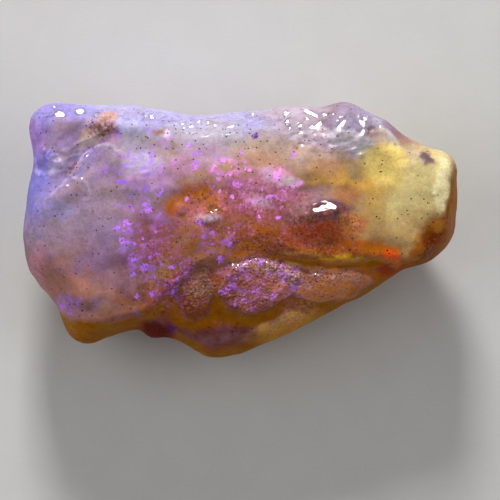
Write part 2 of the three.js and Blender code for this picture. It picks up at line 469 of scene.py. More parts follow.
    def _carve(self, piece: bpy.types.Object, relief: Relief) -> None:
        """Raises or lowers one zone of the surface.

        Args:
            piece: the stone.
            relief: what to do, and where.
        """
        carve = piece.modifiers.new(f"carve_{relief.zone.value}", "DISPLACE")
        carve.vertex_group = relief.zone.value
        carve.direction = "NORMAL"
        carve.strength = relief.height * MM
        carve.mid_level = 0.0
        if relief.pattern is not Pattern.EVEN:
            carve.mid_level = 0.5
            carve.texture_coords = "LOCAL"
            carve.texture = relief.texture()
        apply_modifiers(piece)

    def _flatten(self, piece: bpy.types.Object, chip: Chip) -> None:
        """Presses the surface to a flat within a chip.

        Args:
            piece: the stone.
            chip: the flat.
        """
        points = vertex_points(piece)
        away = np.linalg.norm(points[:, :2] - np.array(chip.shape.middle), axis=1)
        away[upward(piece) < self.chip_tilt] = np.inf
        near = np.flatnonzero(away < chip.shape.extent)
        area = points[near]
        weight = chip.shape.weight(area[:, :2] + wandering(area, self.chip_wander))
        normal = np.array(self.glint_normal) / np.linalg.norm(self.glint_normal)
        above = (area - points[away.argmin()]) @ normal + chip.sink
        above = np.maximum(above, -chip.fill)
        points[near] -= (above * weight)[:, None] * normal
        piece.data.vertices.foreach_set("co", (points * MM).ravel())
        piece.data.update()

    def _lay_stains_and_painted_light(self, piece: bpy.types.Object) -> None:
        """Gives the stone its two coats of stains and painted light, as colours of the mesh.

        The front coat starts clear, and its alpha says how much of the body it hides.

        Args:
            piece: the stone.
        """
        points = vertex_points(piece)
        near = points[:, :2] + sum(wandering(points, layer) for layer in self.oval_wander)
        far = near + wandering(points, self.far_wander)
        plates = joint_weight(self.zones[Zone.PLATES], near)
        plates *= smooth_step(upward(piece) * TOP_FADE)
        clear = np.zeros((len(points), 4))
        coats = {
            Coat.BODY: (clear + linear(self.ground), ((STAINS_AND_PAINTED_LIGHT, 1.0),)),
            Coat.FRONT: (clear, ((PLATE_STAINS, plates), (FRONT_STAINS_AND_PAINTED_LIGHT, 1.0))),
        }
        for coat, (colours, layers) in coats.items():
            for stains, share in layers:
                for stain in stains.values():
                    weight = stain.weight(near if stain.is_small else far)
                    weight = (weight * stain.strength * share)[:, None]
                    colours = colours * (1 - weight) + weight * np.array(linear(stain.colour))
            layer = piece.data.color_attributes.new(name=coat.value, type="FLOAT_COLOR", domain="POINT")
            layer.data.foreach_set("color", colours.ravel())


def wandering(points: np.ndarray, wander: Point) -> np.ndarray:
    """Shifts in plan that make drawn lines look grown, by the size and the reach of a wandering."""
    size, reach = wander
    return np.array([noise.noise_vector(Vector(p) / size)[:2] for p in points]) * reach


def small_glints() -> tuple[Chip, ...]:
    """One narrow polished flat for each of the smallest glints."""
    kinds = ((SMALL_GLINTS, (0.34, 0.2), Chip.fill), (FRONT_GLINTS, (0.4, 0.26), 0.4))
    return tuple(
        Chip(Patch(place, radii, turn, 0.3), fill=fill)
        for glints, radii, fill in kinds
        for place, turn in glints
    )


# The polished flats: on the blue corner, the crests, the mound, the knob, the waves beside the
# peak, the cream end and the front.
CHIPS: tuple[Chip, ...] = (
    Chip(Patch((-15.7, 10.1), (0.5, 0.36), 0, 0.35)),
    Chip(Patch((-14, 10.35), (0.5, 0.3), 0, 0.35)),
    Chip(Patch((-16.2, 10.7), (0.3, 0.12), 0, 0.35)),
    Chip(Patch((-10.4, 9.8), (0.22, 0.18), 0, 0.35)),
    Chip(Patch((-10, 9.2), (0.2, 0.1), 0, 0.35)),
    Chip(Patch((-8.3, 5.1), (0.36, 0.28), 0, 0.3)),
    Chip(Patch((-14.4, 4.5), (0.3, 0.16), 40, 0.5)),
    Chip(Patch((-16.1, 3.1), (0.3, 0.14), 20, 0.5)),
    Chip(Patch((-17, 6.9), (0.3, 0.1), 30, 0.5)),
    Chip(Track(((6.5, 1.7), (7, 2), (7.6, 2.1), (8.3, 1.85)), 0.42, 4), 0.1),
    Chip(Patch((5.6, 1.45), (0.45, 0.2), 45, 0.4)),
    Chip(Track(((6.4, 8.8), (6.75, 9.05), (7.05, 9.3)), 0.28, 4)),
    Chip(Track(((8.5, 8.4), (8.5, 8.9), (8.9, 9.5)), 0.32, 4)),
    Chip(Track(((5.6, 10.4), (6.2, 10.2), (6.7, 9.9)), 0.28, 4)),
    Chip(Track(((10.3, 10), (10.4, 9.5), (10.7, 9.1), (11.1, 9.5)), 0.36, 4)),
    Chip(Track(((10.4, 8.3), (10.8, 8.7), (11.4, 8.8)), 0.34, 4)),
    Chip(Track(((11.3, 8.8), (11.8, 8.85)), 0.24, 4)),
    Chip(Patch((16, 3.6), (0.3, 0.12), 20, 0.5)),
    Chip(Patch((16.8, 3.3), (0.14, 0.3), 0, 0.35)),
    Chip(Patch((-0.2, -3), (0.25, 0.18), 30, 0.5)),
    Chip(Patch((3.8, -7.2), (0.42, 0.26), 12, 0.3), 0.1),
    Chip(Patch((5.3, -6.7), (0.34, 0.22), 12, 0.3), 0.1),
    Chip(Patch((-15.1, -6.2), (0.45, 0.2), -10, 0.5)),
)

# Small flats along the pale back edge and on the crests: where each lies, and its turn.
SMALL_GLINTS: tuple[tuple[Point, float], ...] = (
    ((-8.2, 10.1), 20), ((-7.8, 9.9), -30), ((-5.1, 9.3), -20), ((-4.9, 8.9), 30), ((-4.2, 9), 0),
    ((-3.7, 9.4), 45), ((-2.8, 9.3), -15), ((-2.2, 9.1), 10), ((-0.8, 9), 0), ((0.7, 10), -35),
    ((1.1, 10.1), 20), ((1.5, 9.7), 60), ((4, 10.2), 0), ((4.2, 9.5), 40), ((4.3, 8.8), -20),
    ((-16.3, 6.6), 50), ((-16, 6.1), -60), ((-15.6, 5.2), 0), ((-12.6, 10), 60), ((-9.6, 5.6), 0),
    ((-13.3, 2.7), 20), ((-15, 6.4), 30), ((-14.1, 6.6), 20), ((-15, 3.9), 40), ((-17.1, 4.7), 0),
    ((5.2, 9.05), 20), ((7.3, 10.1), 10), ((8, 10.1), 0), ((10.85, 9.75), 20), ((5.75, 9.65), 40),
    ((12.2, 9), 40), ((9.5, 8.75), 10),
)

# The same on the front of the hummocks, where the skin has to rise to meet them.
FRONT_GLINTS: tuple[tuple[Point, float], ...] = (
    ((6.5, 8.2), 85), ((6.4, 7.6), 80), ((4.7, 8.15), 20), ((5.3, 8.45), 30), ((5.65, 7.9), -50),
    ((7.8, 7.4), 80), ((8.3, 7.4), 0), ((8.95, 7.6), 15), ((9.85, 7.2), 70), ((10.45, 6.7), 0),
    ((5.4, 7.3), -40), ((7.2, 8.3), -30), ((10.5, 8.4), 50), ((8.6, 8.6), 85),
)

# The two thin plates below the lip, as closed outlines.
LEDGE: tuple[Point, ...] = (
    (-1.8, -5.4), (-1.6, -6.1), (-1.1, -7), (-0.5, -6.9), (1.1, -7.35), (2.4, -6.9), (3.4, -6),
    (4.25, -5.5), (5.1, -5.9), (6, -6.2), (8.3, -6.2), (9.9, -5.8), (11.4, -4.3), (11, -3.8),
    (9.6, -3.6), (7.8, -3.4), (6.1, -3.25), (4.5, -3.15), (3.4, -2.7), (2.15, -2.5), (0.9, -2.2),
    (0.2, -2.8), (-0.75, -3.3), (-1.45, -4.4),
)
SHELF: tuple[Point, ...] = (
    (-6, -4.8), (-5.6, -6.1), (-4.95, -7.6), (-3.9, -8), (-3, -7.5), (-2.4, -6.1),
    (-2.15, -4.7), (-3.1, -3.5), (-4.9, -3.7),
)

# The largest flakes: where each lies, its half length and half width, and its turn.
LARGE_FLAKES: tuple[tuple[float, ...], ...] = (
    (-3.9, 5.6, 0.5, 0.34, 20), (-3.8, 6.6, 0.42, 0.32, 0), (-1.5, 6.1, 0.34, 0.22, 10),
    (-1, 6.1, 0.24, 0.14, 0), (0, 6.7, 0.2, 0.28, 0), (-1.7, 4.5, 0.24, 0.4, -15),
    (-0.85, 4.9, 0.36, 0.2, 5), (-0.3, 3.9, 0.42, 0.22, -35), (0.5, 5.25, 0.36, 0.22, -20),
    (3.2, 4.7, 0.28, 0.36, 0), (3.4, 5.2, 0.24, 0.2, 0), (5.15, 4.1, 0.4, 0.32, 30),
    (4.6, 3.8, 0.3, 0.16, 20), (3.7, 3.4, 0.5, 0.2, 5), (-0.6, 3, 0.26, 0.24, 0),
    (1.2, 2.5, 0.38, 0.22, -10), (-1.85, 3.45, 0.22, 0.2, 0), (-4.85, 2.6, 0.24, 0.26, 0),
    (-3.4, 0.65, 0.38, 0.26, -20), (-8, 1.7, 0.46, 0.3, 25), (-7, 1.3, 0.2, 0.14, 0),
    (-8.2, 3.8, 0.34, 0.26, 0), (-7, 3.35, 0.4, 0.24, 10), (-9.9, 0.65, 0.36, 0.42, 0),
    (-10.6, 0.15, 0.34, 0.22, 20), (-10.9, 7.75, 0.26, 0.28, 0), (-4.4, 7.6, 0.24, 0.34, 0),
    (-10.2, 4.2, 0.5, 0.24, 10), (4.5, 6.5, 0.26, 0.32, -20), (2.6, 2.9, 0.36, 0.22, -15),
    (1.4, 1.3, 0.3, 0.16, -20), (3.4, 0.8, 0.26, 0.2, 0), (-1.2, -1.1, 0.36, 0.18, 10),
    (-2.7, -1.45, 0.44, 0.14, 22), (2, 3.6, 0.24, 0.2, 0), (0.2, 2.2, 0.2, 0.18, 0),
    (-8.5, -3.3, 0.5, 0.32, 10), (-9.5, -4, 0.38, 0.18, 15), (-6, -3.1, 0.4, 0.2, 20),
    (-9.3, -2.4, 0.24, 0.46, 15), (-5.75, -5.25, 0.24, 0.2, 30), (-7.7, -5.4, 0.18, 0.4, 0),
    (-8.9, -5.8, 0.3, 0.2, 0), (-6.5, -6.5, 0.36, 0.2, -35), (-0.5, -6.5, 0.18, 0.38, 0),
    (-1.3, -5.2, 0.44, 0.36, 20), (0.6, -5.4, 0.24, 0.2, 0), (1.2, -5.4, 0.34, 0.3, 0),
    (0.5, -6.2, 0.4, 0.24, 10), (1.1, -6.95, 0.26, 0.14, 0), (3.7, -4.3, 0.24, 0.4, -10),
    (4.4, -5, 0.2, 0.24, 0), (1.8, -2.8, 0.4, 0.2, -10), (2.2, -4.7, 0.2, 0.18, 0),
    (-1.6, -2.6, 0.3, 0.4, -20), (0.5, -3.9, 0.3, 0.2, 0), (-10.3, -1, 0.36, 0.46, 0),
)

# The zones in plan. A zone that isn't listed covers the whole stone above its base.
PLAN: dict[Zone, tuple[Shape, ...]] = {
    Zone.BACK_BAND: (
        Track(((-17, 10.2), (-12, 9.9), (-6, 9.4), (0, 9.2), (4, 9.4)), 1.6, 6),
        Track(((12.8, 7.6), (14.6, 6.8), (16.6, 6.2), (18.2, 5.6)), 0.7, 6),
        Patch((-16.3, 10), (2.2, 1.2)),
    ),
    Zone.WAVES: (
        Patch((5.6, 8.9), (2, 1.7), 0, 0.5),
        Patch((9.8, 9.2), (3, 1.9), -15, 0.5),
        Patch((7.6, 7.6), (2.6, 1), 0, 0.6),
    ),
    Zone.DRUSY: (
        Sheet(LEDGE, 0.5),
        Patch((-4, -4.9), (2, 2.3), -30, 0.7),
        Patch((4.8, -7.2), (2.4, 0.8), 25, 0.7),
    ),
    Zone.SCOOP: (Patch((-13.8, 7.6), (3.6, 2.2), 28, 0.5),),
    Zone.CRESTS: (
        Track(((-12.3, 8.5), (-13.5, 7.9), (-14.4, 7.4), (-15.3, 6.9), (-16, 7.1), (-17, 7)), 0.15),
        Track(
            ((-12.3, 7.1), (-13.3, 6.5), (-14, 5.7), (-14.7, 4.8), (-15.1, 4.3), (-16, 3.4),
             (-16.9, 2.7)),
            0.16,
        ),
        Track(((-13, 6.9), (-13.7, 6.2), (-14.5, 5.3)), 0.13),
        Track(((-11.9, 7.1), (-11.3, 7), (-10.5, 6.5)), 0.15),
        Track(((-14.6, 4.6), (-13.4, 4.1), (-13.2, 2.8)), 0.15),
        Track(((-18.2, 5.2), (-17.6, 4.8), (-16.9, 5.1), (-16.6, 5.7), (-17, 6.2)), 0.15),
    ),
    Zone.DIMPLE: (Patch((-17.2, 5.5), (0.75, 0.5), -10, 0.6),),
    Zone.LIP: (
        Track(
            ((2.2, -1.6), (4.5, -2.3), (6.2, -2.4), (7.6, -2.9), (9.9, -2.7), (11.9, -2.3),
             (13.6, -3.1)),
            0.30,
        ),
    ),
    Zone.TRENCH: (
        Track(
            ((1.9, -1.7), (3.6, -2.5), (4.9, -2.85), (7.4, -3.1), (9.9, -3.15), (12.4, -3)), 0.34, 4
        ),
        Track(
            ((-6.2, -6.4), (-5.4, -7.9), (-3.9, -8.4), (-2.7, -7.9), (-1.95, -6.9), (-1.95, -5)),
            0.5, 4,
        ),
        Track(
            ((-1.95, -6.7), (-1.3, -7.5), (1, -7.9), (2.7, -7.4), (3.8, -6.5), (4.4, -6.1),
             (6, -6.7), (8.2, -6.8), (10.4, -5.9)),
            0.55, 4,
        ),
        Patch((0.9, -1.5), (1.4, 0.6), 15, 0.7),
    ),
    # Where the stone is clear amber: partly its own colour and partly painted light coming through the thin
    # edges.
    Zone.CLEAR: (
        Sheet(
            ((-16.6, -7), (-15.4, -7.7), (-13.5, -8), (-12.3, -8.15), (-10.5, -8), (-9, -7.7),
             (-7.9, -6.8), (-7, -6), (-6.1, -5.6), (-5.6, -6.1), (-6.6, -6.9), (-7.4, -7.5),
             (-8.2, -8.2), (-8.6, -9.6), (-11, -10.5), (-15, -10.8), (-17, -9)),
            0.5,
        ),
        Sheet(
            ((3.4, -6.1), (4.25, -5.6), (5.1, -5.95), (6, -6.3), (8.3, -6.3), (9.9, -5.85),
             (11.4, -4.4), (12.2, -3.6), (14, -3.2), (15.7, -3.6), (14, -5), (12, -6.6),
             (8, -9), (6, -9.8), (5.4, -8.6), (6, -7.6), (4.6, -7)),
            0.5,
        ),
        Track(
            ((-5.3, -9.9), (-4.2, -10.5), (-3.2, -11.2), (-2.1, -11.4), (0, -11), (2.1, -10.1),
             (4.2, -9.2), (6.3, -8.1), (9.1, -6.7), (11.5, -5.5), (13.3, -4.2), (14.5, -3.5),
             (16.1, -3.1), (17.4, -2.3), (18.4, -1.4)),
            1, 4,
        ),
        Sheet(
            ((18.6, 5.4), (18.15, 4.2), (17.95, 2.2), (17.8, 1.2), (16.9, 1), (16.4, 0.2),
             (15.9, -0.9), (15.1, -2.1), (14.9, -3.2), (18.2, -2.4), (19.6, -0.8), (19.8, 2),
             (19.7, 5.4)),
            0.3,
        ),
    ),
    Zone.LEDGE_RIM: (
        Track(((-0.4, -3.2), (0.8, -2.5), (2.4, -2.9), (4.2, -3.7), (5, -4.3)), 0.45),
        Track(((6.5, -3.9), (8.6, -3.9), (10.2, -4.3)), 0.4),
    ),
    Zone.PLATE_EDGE: (Sheet(LEDGE, 0.25, 0.5), Sheet(SHELF, 0.35, 0.5)),
    Zone.PLATES: (Sheet(LEDGE, 0.3), Sheet(SHELF, 0.4)),
    Zone.GLINTS: (Track(((-17, 10.4), (-12, 10.2), (-6, 9.9), (0, 9.8), (4, 9.9)), 0.5, 4),),
    Zone.KNOB_COLLAR: (
        Track(((4.7, 2.2), (5.6, 3.1), (7.4, 3.2), (9.3, 2.8)), 0.75, 4),
        Track(((6.2, 2.7), (8.4, 2.8)), 0.4, 4),
    ),
    Zone.PLAY: (
        Patch((1.3, 3.4), (3.1, 2.3), -10, 0.8),
        Patch((-1.6, 4.9), (2.4, 1.5), 0, 0.9),
        Patch((-1.2, -0.9), (3, 1.4), 0, 0.9),
        Patch((-8.8, -0.2), (2, 4.4), 0, 1.2),
        Patch((-15.1, -6.4), (1.3, 0.9), 0, 0.6),
        Patch((2.2, -4.7), (3.8, 2), -8, 0.6),
        Patch((-6.8, -4), (2.4, 2.2), 0, 0.9),
        Patch((-9, 6.4), (4, 3), 0, 1),
    ),
    Zone.PINK: (Patch((2.2, 3.4), (7, 4.2), -8, 1.2),),
    Zone.FLAKES: tuple(
        Patch((x, y), (length, width), turn, 0.8) for x, y, length, width, turn in LARGE_FLAKES
    ),
    Zone.BEAD: (Patch((-2.8, 1.1), (0.9, 0.55), 0, 0.7), Patch((-5.2, 1.7), (0.5, 0.4), 0, 0.8)),
    Zone.HEART: (Patch((0.8, 1.2), (6, 3.6), -6, 0.8), Patch((-7, -3.4), (2.8, 3.4), 0, 0.9)),
    Zone.DIRT: (
        Patch((-12.4, 9), (1.2, 0.7), 0, 0.9),
        Patch((-11.4, 8.5), (0.8, 0.7), 0, 0.9),
        Patch((-14.6, 5.3), (0.9, 0.4), 42, 0.9),
    ),
    Zone.RUSTY: (Patch((7.3, 0.2), (3.4, 1.8), 6, 0.6), Patch((4.8, -1.4), (5.4, 1.2), -3, 0.7)),
    Zone.PEPPER: (
        Track(((-9.7, 7.6), (-8.4, 7.9), (-6.8, 8.1)), 0.3),
        Patch((-12.1, 8.8), (1.4, 1)),
        Patch((-2.6, 7), (5, 2.2), 0, 1),
        Patch((1, -4.4), (5, 2.8), 0, 1),
        Patch((-4, -4.4), (2.4, 2.4), 0, 1),
    ),
    Zone.END_CREST: (
        Track(((18.3, 5.6), (18.2, 3), (17.9, 0.9), (16.9, -0.9), (15.7, -2.7)), 0.45),
    ),
}


# Laid in this order: the broad grounds first, then what lies on them.
STAINS_AND_PAINTED_LIGHT: dict[str, ColourOval] = {
    # the left half
    "left_body": ColourOval((-12.7, 1.4), (7.5, 7.4), 0, 0.7, (162, 136, 156)),
    "left_low": ColourOval((-13, -5.4), (6.8, 3.8), 8, 0.9, (182, 124, 108)),
    "left_haze": ColourOval((-11.2, -1.6), (2.6, 2), 0, 1.2, (162, 132, 188), 0.7),
    "violet_middle": ColourOval((-7, -1.2), (3.4, 3.6), 20, 1, (140, 82, 84)),
    "slope": ColourOval((-6.8, -5), (2.6, 2), 30, 0.9, (182, 144, 90)),
    # the back edge
    "pale_back": ColourOval((-5.6, 11), (18, 2.9), 0, 0.8, (168, 162, 204)),
    "grey_back": ColourOval((-3, 7.4), (7.6, 1.9), 0, 0.9, (180, 170, 182), 0.9),
    "mound": ColourOval((-8.6, 5.7), (2.2, 1.3), 8, 0.9, (202, 188, 214), 0.9),
    # the middle
    "tan_middle": ColourOval((3.2, 6.2), (5.4, 2.2), 0, 0.9, (200, 170, 150), 0.9),
    "pink_band": ColourOval((0, 4.6), (5, 1.9), 0, 1, (190, 146, 120)),
    "magenta_heart": ColourOval((0.2, 2.2), (5.6, 2), 0, 1, (184, 102, 92)),
    "red_heart": ColourOval((-2.4, -0.6), (4.4, 1.5), 8, 1, (162, 100, 28)),
    "front": ColourOval((-1, -7.6), (9, 4.6), 0, 0.7, (148, 74, 2)),
    "orange_heart": ColourOval((4.8, -1), (5.8, 1.6), -3, 0.9, (180, 94, 6)),
    # the right end
    "gold_field": ColourOval((11.6, 3.2), (5, 4.2), 0, 0.8, (178, 144, 80)),
    "gold_tail": ColourOval((9, 4.3), (3.6, 1.2), 0, 1, (214, 164, 78)),
    "cream_end": ColourOval((16.2, 3.2), (3.2, 4.6), 0, 0.8, (204, 186, 126)),
    "tan_foot": ColourOval((11.9, -0.3), (2.4, 1.4), 0, 1, (186, 146, 92)),
    "cream_tip": ColourOval((14.5, -1.8), (0.8, 0.7), 0, 0.9, (242, 194, 108), 0.8),
    "cream_foot": ColourOval((14.9, -0.3), (2.2, 1.6), 0, 0.9, (196, 160, 102)),
    "orange_foot": ColourOval((9.6, -1.7), (2.6, 1), 0, 0.9, (146, 74, 2)),
    "lilac_peak": ColourOval((9.2, 10.2), (4.8, 3.2), -14, 0.7, (138, 114, 126)),
    "pink_shoulder": ColourOval((4.6, 9.6), (2.6, 2), 0, 0.9, (176, 158, 172)),
    # Painted light: these two ovals lighten the shade in the hollow below the ripples and in the dents
    # south of the peak.
    "wave_foot_painted_light": ColourOval((7.8, 7), (3.2, 0.9), 0, 1, (236, 200, 184), 0.8),
    "peak_painted_light": ColourOval((8.9, 7.9), (1.4, 0.8), 0, 0.9, (232, 220, 240), 0.7),
    "peak_foot": ColourOval((10.4, 6.8), (1.1, 0.6), -10, 0.9, (216, 194, 222), 0.7),
    "rosy_dent": ColourOval((6.8, 8.1), (0.8, 1), 0, 0.9, (180, 148, 156), 0.5),
    "peak_blue": ColourOval((10.2, 8.8), (1.9, 1.7), -40, 0.9, (164, 154, 184), 0.7),
    "grey_shoulder": ColourOval((11.4, 7.6), (2.4, 1), -35, 0.9, (190, 188, 184)),
    # Painted light: this pale oval lightens the shade of the dents on the front slopes of the waves.
    "waves_painted_light": ColourOval((8.4, 7.9), (3.4, 0.8), -4, 1, (246, 232, 246), 0.8),
    "tan_shoulder": ColourOval((12.3, 7.9), (1.3, 0.6), -35, 1, (164, 124, 98), 0.6),
    "tan_tail": ColourOval((7.3, 5.5), (1.5, 0.9), 0, 1, (224, 166, 120), 0.7),
    # the pale and rosy clouds of the middle
    "mound_foot": ColourOval((-8.7, 4.2), (2.8, 0.7), 0, 1, (246, 194, 246), 0.8),
    "pink_top": ColourOval((-3.1, 6.7), (1.9, 0.9), 0, 1, (212, 170, 202), 0.7),
    "mound_side": ColourOval((-6.5, 6.9), (1.4, 0.9), 0, 1, (188, 156, 146), 0.7),
    "pink_glow": ColourOval((2.4, 3.6), (2.5, 1.1), 0, 1, (246, 164, 202), 0.7),
    "rose_edge": ColourOval((-17.7, -3.1), (1.1, 1.8), 0, 0.9, (212, 142, 166), 0.6),
    "low_brown": ColourOval((-12.9, -7.6), (1.6, 0.7), 0, 0.9, (104, 66, 48), 0.5),
    "low_dusk": ColourOval((-9.2, -5.6), (1.3, 1), 0, 0.9, (108, 70, 74), 0.5),
    "shoulder_grey": ColourOval((15.2, 6.6), (1.3, 0.7), -25, 0.9, (178, 156, 132), 0.7),
    "yellow_head": ColourOval((11.7, 6.5), (1, 0.7), 0, 0.9, (244, 218, 154), 0.6),
    "shoulder_rose": ColourOval((6.6, 7.9), (1, 1), 0, 0.9, (178, 148, 156), 0.6),
    "pink_left": ColourOval((-5.4, 5.6), (1.4, 0.9), 0, 0.9, (220, 166, 202), 0.6),
    "heart_rust": ColourOval((4, 1.8), (1.2, 0.8), 0, 0.9, (152, 88, 38), 0.6),
    "mound_west": ColourOval((-11.8, 4.2), (1.2, 1), 0, 0.9, (154, 132, 128), 0.6),
    "left_blue": ColourOval((-15.9, 1.9), (1.8, 1), 0, 0.9, (176, 166, 222), 0.6),
    "gold_dim": ColourOval((12.8, 4.2), (1.2, 0.9), 0, 0.9, (182, 154, 78), 0.5),
    "low_mauve": ColourOval((-10.3, -4.2), (1.7, 1.2), 0, 1, (198, 148, 168), 0.7),
    "low_tan": ColourOval((-11.2, -6.7), (2.2, 0.8), 4, 1, (128, 80, 52), 0.8),
    "ochre_haze": ColourOval((-11.6, -1), (1.2, 0.8), 0, 1, (148, 120, 124), 0.6),
    "pale_fleck": ColourOval((-9.9, -1.5), (0.6, 0.5), 0, 1, (162, 134, 200), 0.6),
    # the blue end and the scoop
    "blue_end": ColourOval((-18.9, 5.4), (2.6, 4.8), 0, 1.1, (124, 120, 206)),
    "bright_corner": ColourOval((-16.4, 10.3), (3, 1.3), 0, 0.9, (146, 134, 196)),
    "scoop_floor": ColourOval((-14.6, 8.2), (2.7, 1.2), 14, 1, (172, 144, 188)),
    "scoop_back": ColourOval((-15.2, 9.1), (1.7, 0.6), 10, 1, (146, 114, 118), 0.7),
    # Painted light: this oval lightens the shade on the scoop's wall.
    "scoop_wall_painted_light": ColourOval((-12.9, 7.9), (1, 0.7), 30, 1, (246, 224, 186), 0.7),
    "back_milk": ColourOval((-9.9, 9.2), (1.5, 0.6), 0, 1, (204, 204, 242), 0.7),
    "left_rim": ColourOval((-17.9, 7.6), (0.8, 1.8), 0, 1, (212, 152, 246), 0.6),
    "dimple_rim": ColourOval((-16.2, 5.6), (1.2, 0.6), 0, 1, (244, 226, 246), 0.6),
    "scoop_dirt": ColourOval((-12, 8.7), (1.3, 1.1), 0, 0.9, (204, 156, 128), 0.9),
    "dirt_core": ColourOval((-11.9, 8.9), (0.9, 0.6), -20, 0.9, (120, 76, 66), 0.7),
    "groove_pale": ColourOval((-14.7, 6.6), (1.5, 0.6), 25, 0.9, (230, 200, 234), 0.6),
    "scoop_slope": ColourOval((-14.2, 5.6), (2.6, 0.9), 38, 0.9, (140, 122, 164)),
    "scoop_rust": ColourOval((-14.6, 5.3), (0.7, 0.3), 42, 1, (114, 52, 10), 0.85),
    "dimple": ColourOval((-17.3, 5.6), (0.65, 0.42), -8, 0.6, (144, 136, 196)),
    "back_ochre": ColourOval((-7.1, 8.6), (0.42, 0.3), 0, 0.9, (170, 124, 8)),
    "back_pink": ColourOval((-6.3, 8.3), (0.32, 0.28), 0, 0.9, (246, 216, 244)),
    "back_hole": ColourOval((1.2, 8.2), (0.22, 0.3), 30, 0.9, (80, 6, 150)),
    # round the orange hollow
    "hollow_left": ColourOval((-5.1, 2.8), (1.6, 0.7), 25, 0.9, (200, 114, 4)),
    "hollow_right": ColourOval((-3, 3), (1.6, 0.7), -15, 0.9, (200, 116, 10)),
    "hollow_gold": ColourOval((-2.2, 1.9), (0.9, 0.45), 0, 0.9, (120, 78, 2)),
    "hollow_red": ColourOval((-6, 1.7), (0.6, 0.55), 0, 0.9, (182, 92, 2)),
    "bead": ColourOval((-2.8, 1), (1, 0.45), 0, 0.8, (200, 178, 190)),
    "bead_chip": ColourOval((-5, 1.1), (0.32, 0.25), 0, 0.8, (154, 102, 52)),
    # milky chips
    "chip_a": ColourOval((3, 4.6), (1.3, 0.6), -20, 0.8, (218, 192, 226), 0.6),
    "chip_b": ColourOval((4.5, 4), (0.9, 0.4), 10, 0.8, (246, 246, 246), 0.6),
    "chip_c": ColourOval((1.7, 2.5), (1.1, 0.4), -8, 0.8, (236, 210, 216), 0.6),
    # the knob
    "knob_ring": ColourOval((7.1, 1.9), (2.9, 1.7), 6, 0.7, (130, 100, 108), 0.8),
    "knob_top": ColourOval((7.5, 1.7), (2.1, 0.9), 8, 0.8, (92, 58, 68)),
    "knob_side": ColourOval((5.4, 1.2), (1.1, 0.9), 0, 0.9, (110, 72, 44)),
    "knob_foot": ColourOval((7.3, 0), (2.9, 1.1), 8, 1, (206, 84, 10)),
    "knob_milk": ColourOval((5.2, 1.9), (0.8, 0.6), 20, 0.8, (164, 124, 128), 0.6),
    "knob_halo": ColourOval((9.3, 3.1), (1.1, 0.8), 0, 1, (156, 102, 60), 0.8),
    "knob_east": ColourOval((9.3, 0.7), (1, 0.8), 0, 1, (230, 154, 78), 0.7),
    # the front right
    "rust": ColourOval((12, -1.7), (1.9, 0.75), -12, 1.2, (182, 100, 2)),
    "end_cream": ColourOval((17.7, 3.5), (0.85, 2.9), 0, 0.8, (238, 224, 170)),
    "gold_glow": ColourOval((12.3, 5.6), (2, 1.3), -20, 1.1, (242, 212, 120), 0.9),
    "smudge": ColourOval((10, 5.15), (0.75, 0.75), 0, 1.1, (174, 148, 108), 0.8),
    "plum_spot": ColourOval((16.2, 6.4), (0.65, 0.45), -40, 0.7, (106, 86, 86)),
    # the low lobe
    "lobe": ColourOval((-1.4, -9.6), (5, 1.2), 0, 0.9, (130, 64, 60)),
    "lobe_right": ColourOval((4.2, -7.9), (3.4, 0.8), 27, 0.9, (234, 176, 76)),
    "low_flash": ColourOval((-15.1, -6.6), (1.5, 0.8), -10, 1, (160, 124, 170), 0.5),
    # Painted light: this oval lightens the shade on the slope above the shelf, which faces away from the
    # key light.
    "painted_light_over_shelf": ColourOval((-2.4, -2.3), (2.2, 0.7), 0, 0.9, (174, 114, 66), 0.8),
    # Painted light: a bright amber band that lightens the shade on the slope where the lip turns down.
    "lip_painted_light": ColourOval((8, -2.65), (5.2, 0.5), -2, 0.9, (246, 194, 26), 0.8),
    # Partly the blue end's own colour and partly painted light that lightens the shadow at the dimple's
    # edge.
    "blue_rim_and_painted_light": ColourOval((-17.7, 6.3), (1.3, 1.1), 0, 1, (164, 146, 246), 0.7),
    "cream_mid": ColourOval((15.2, 1.3), (2.6, 1.1), 0, 1, (210, 182, 120), 0.8),
    "lobe_violet": ColourOval((-6.1, -8.7), (0.5, 0.5), 0, 1, (104, 6, 118)),
    "red_streak": ColourOval((-5.6, -4.3), (1.2, 0.3), 42, 0.9, (152, 50, 2)),
}

# What lies on the two plates below the lip.
PLATE_STAINS: dict[str, ColourOval] = {
    "shelf": ColourOval((-4, -5.6), (3.2, 3.2), 0, 0.4, (138, 70, 8)),
    "ledge_left": ColourOval((1.5, -5), (4.4, 3.2), 0, 0.4, (150, 86, 66)),
    "ledge_right": ColourOval((8, -4.8), (4.6, 2.2), 0, 0.6, (230, 144, 66)),
    "ledge_brown": ColourOval((-0.6, -4.6), (0.8, 1.6), -20, 0.9, (124, 64, 14), 0.7),
    "ledge_notch": ColourOval((6.1, -4.2), (1.7, 0.7), 0, 1, (104, 62, 36), 0.8),
    "ledge_grey": ColourOval((3.4, -3.9), (2.6, 0.7), -22, 0.9, (134, 96, 62), 0.6),
    "ledge_gold": ColourOval((10.4, -5.4), (1.3, 0.7), 40, 0.9, (196, 114, 2), 0.9),
    "shelf_grey": ColourOval((-3.7, -4.3), (1.7, 1.7), 0, 0.9, (142, 100, 66), 0.8),
}

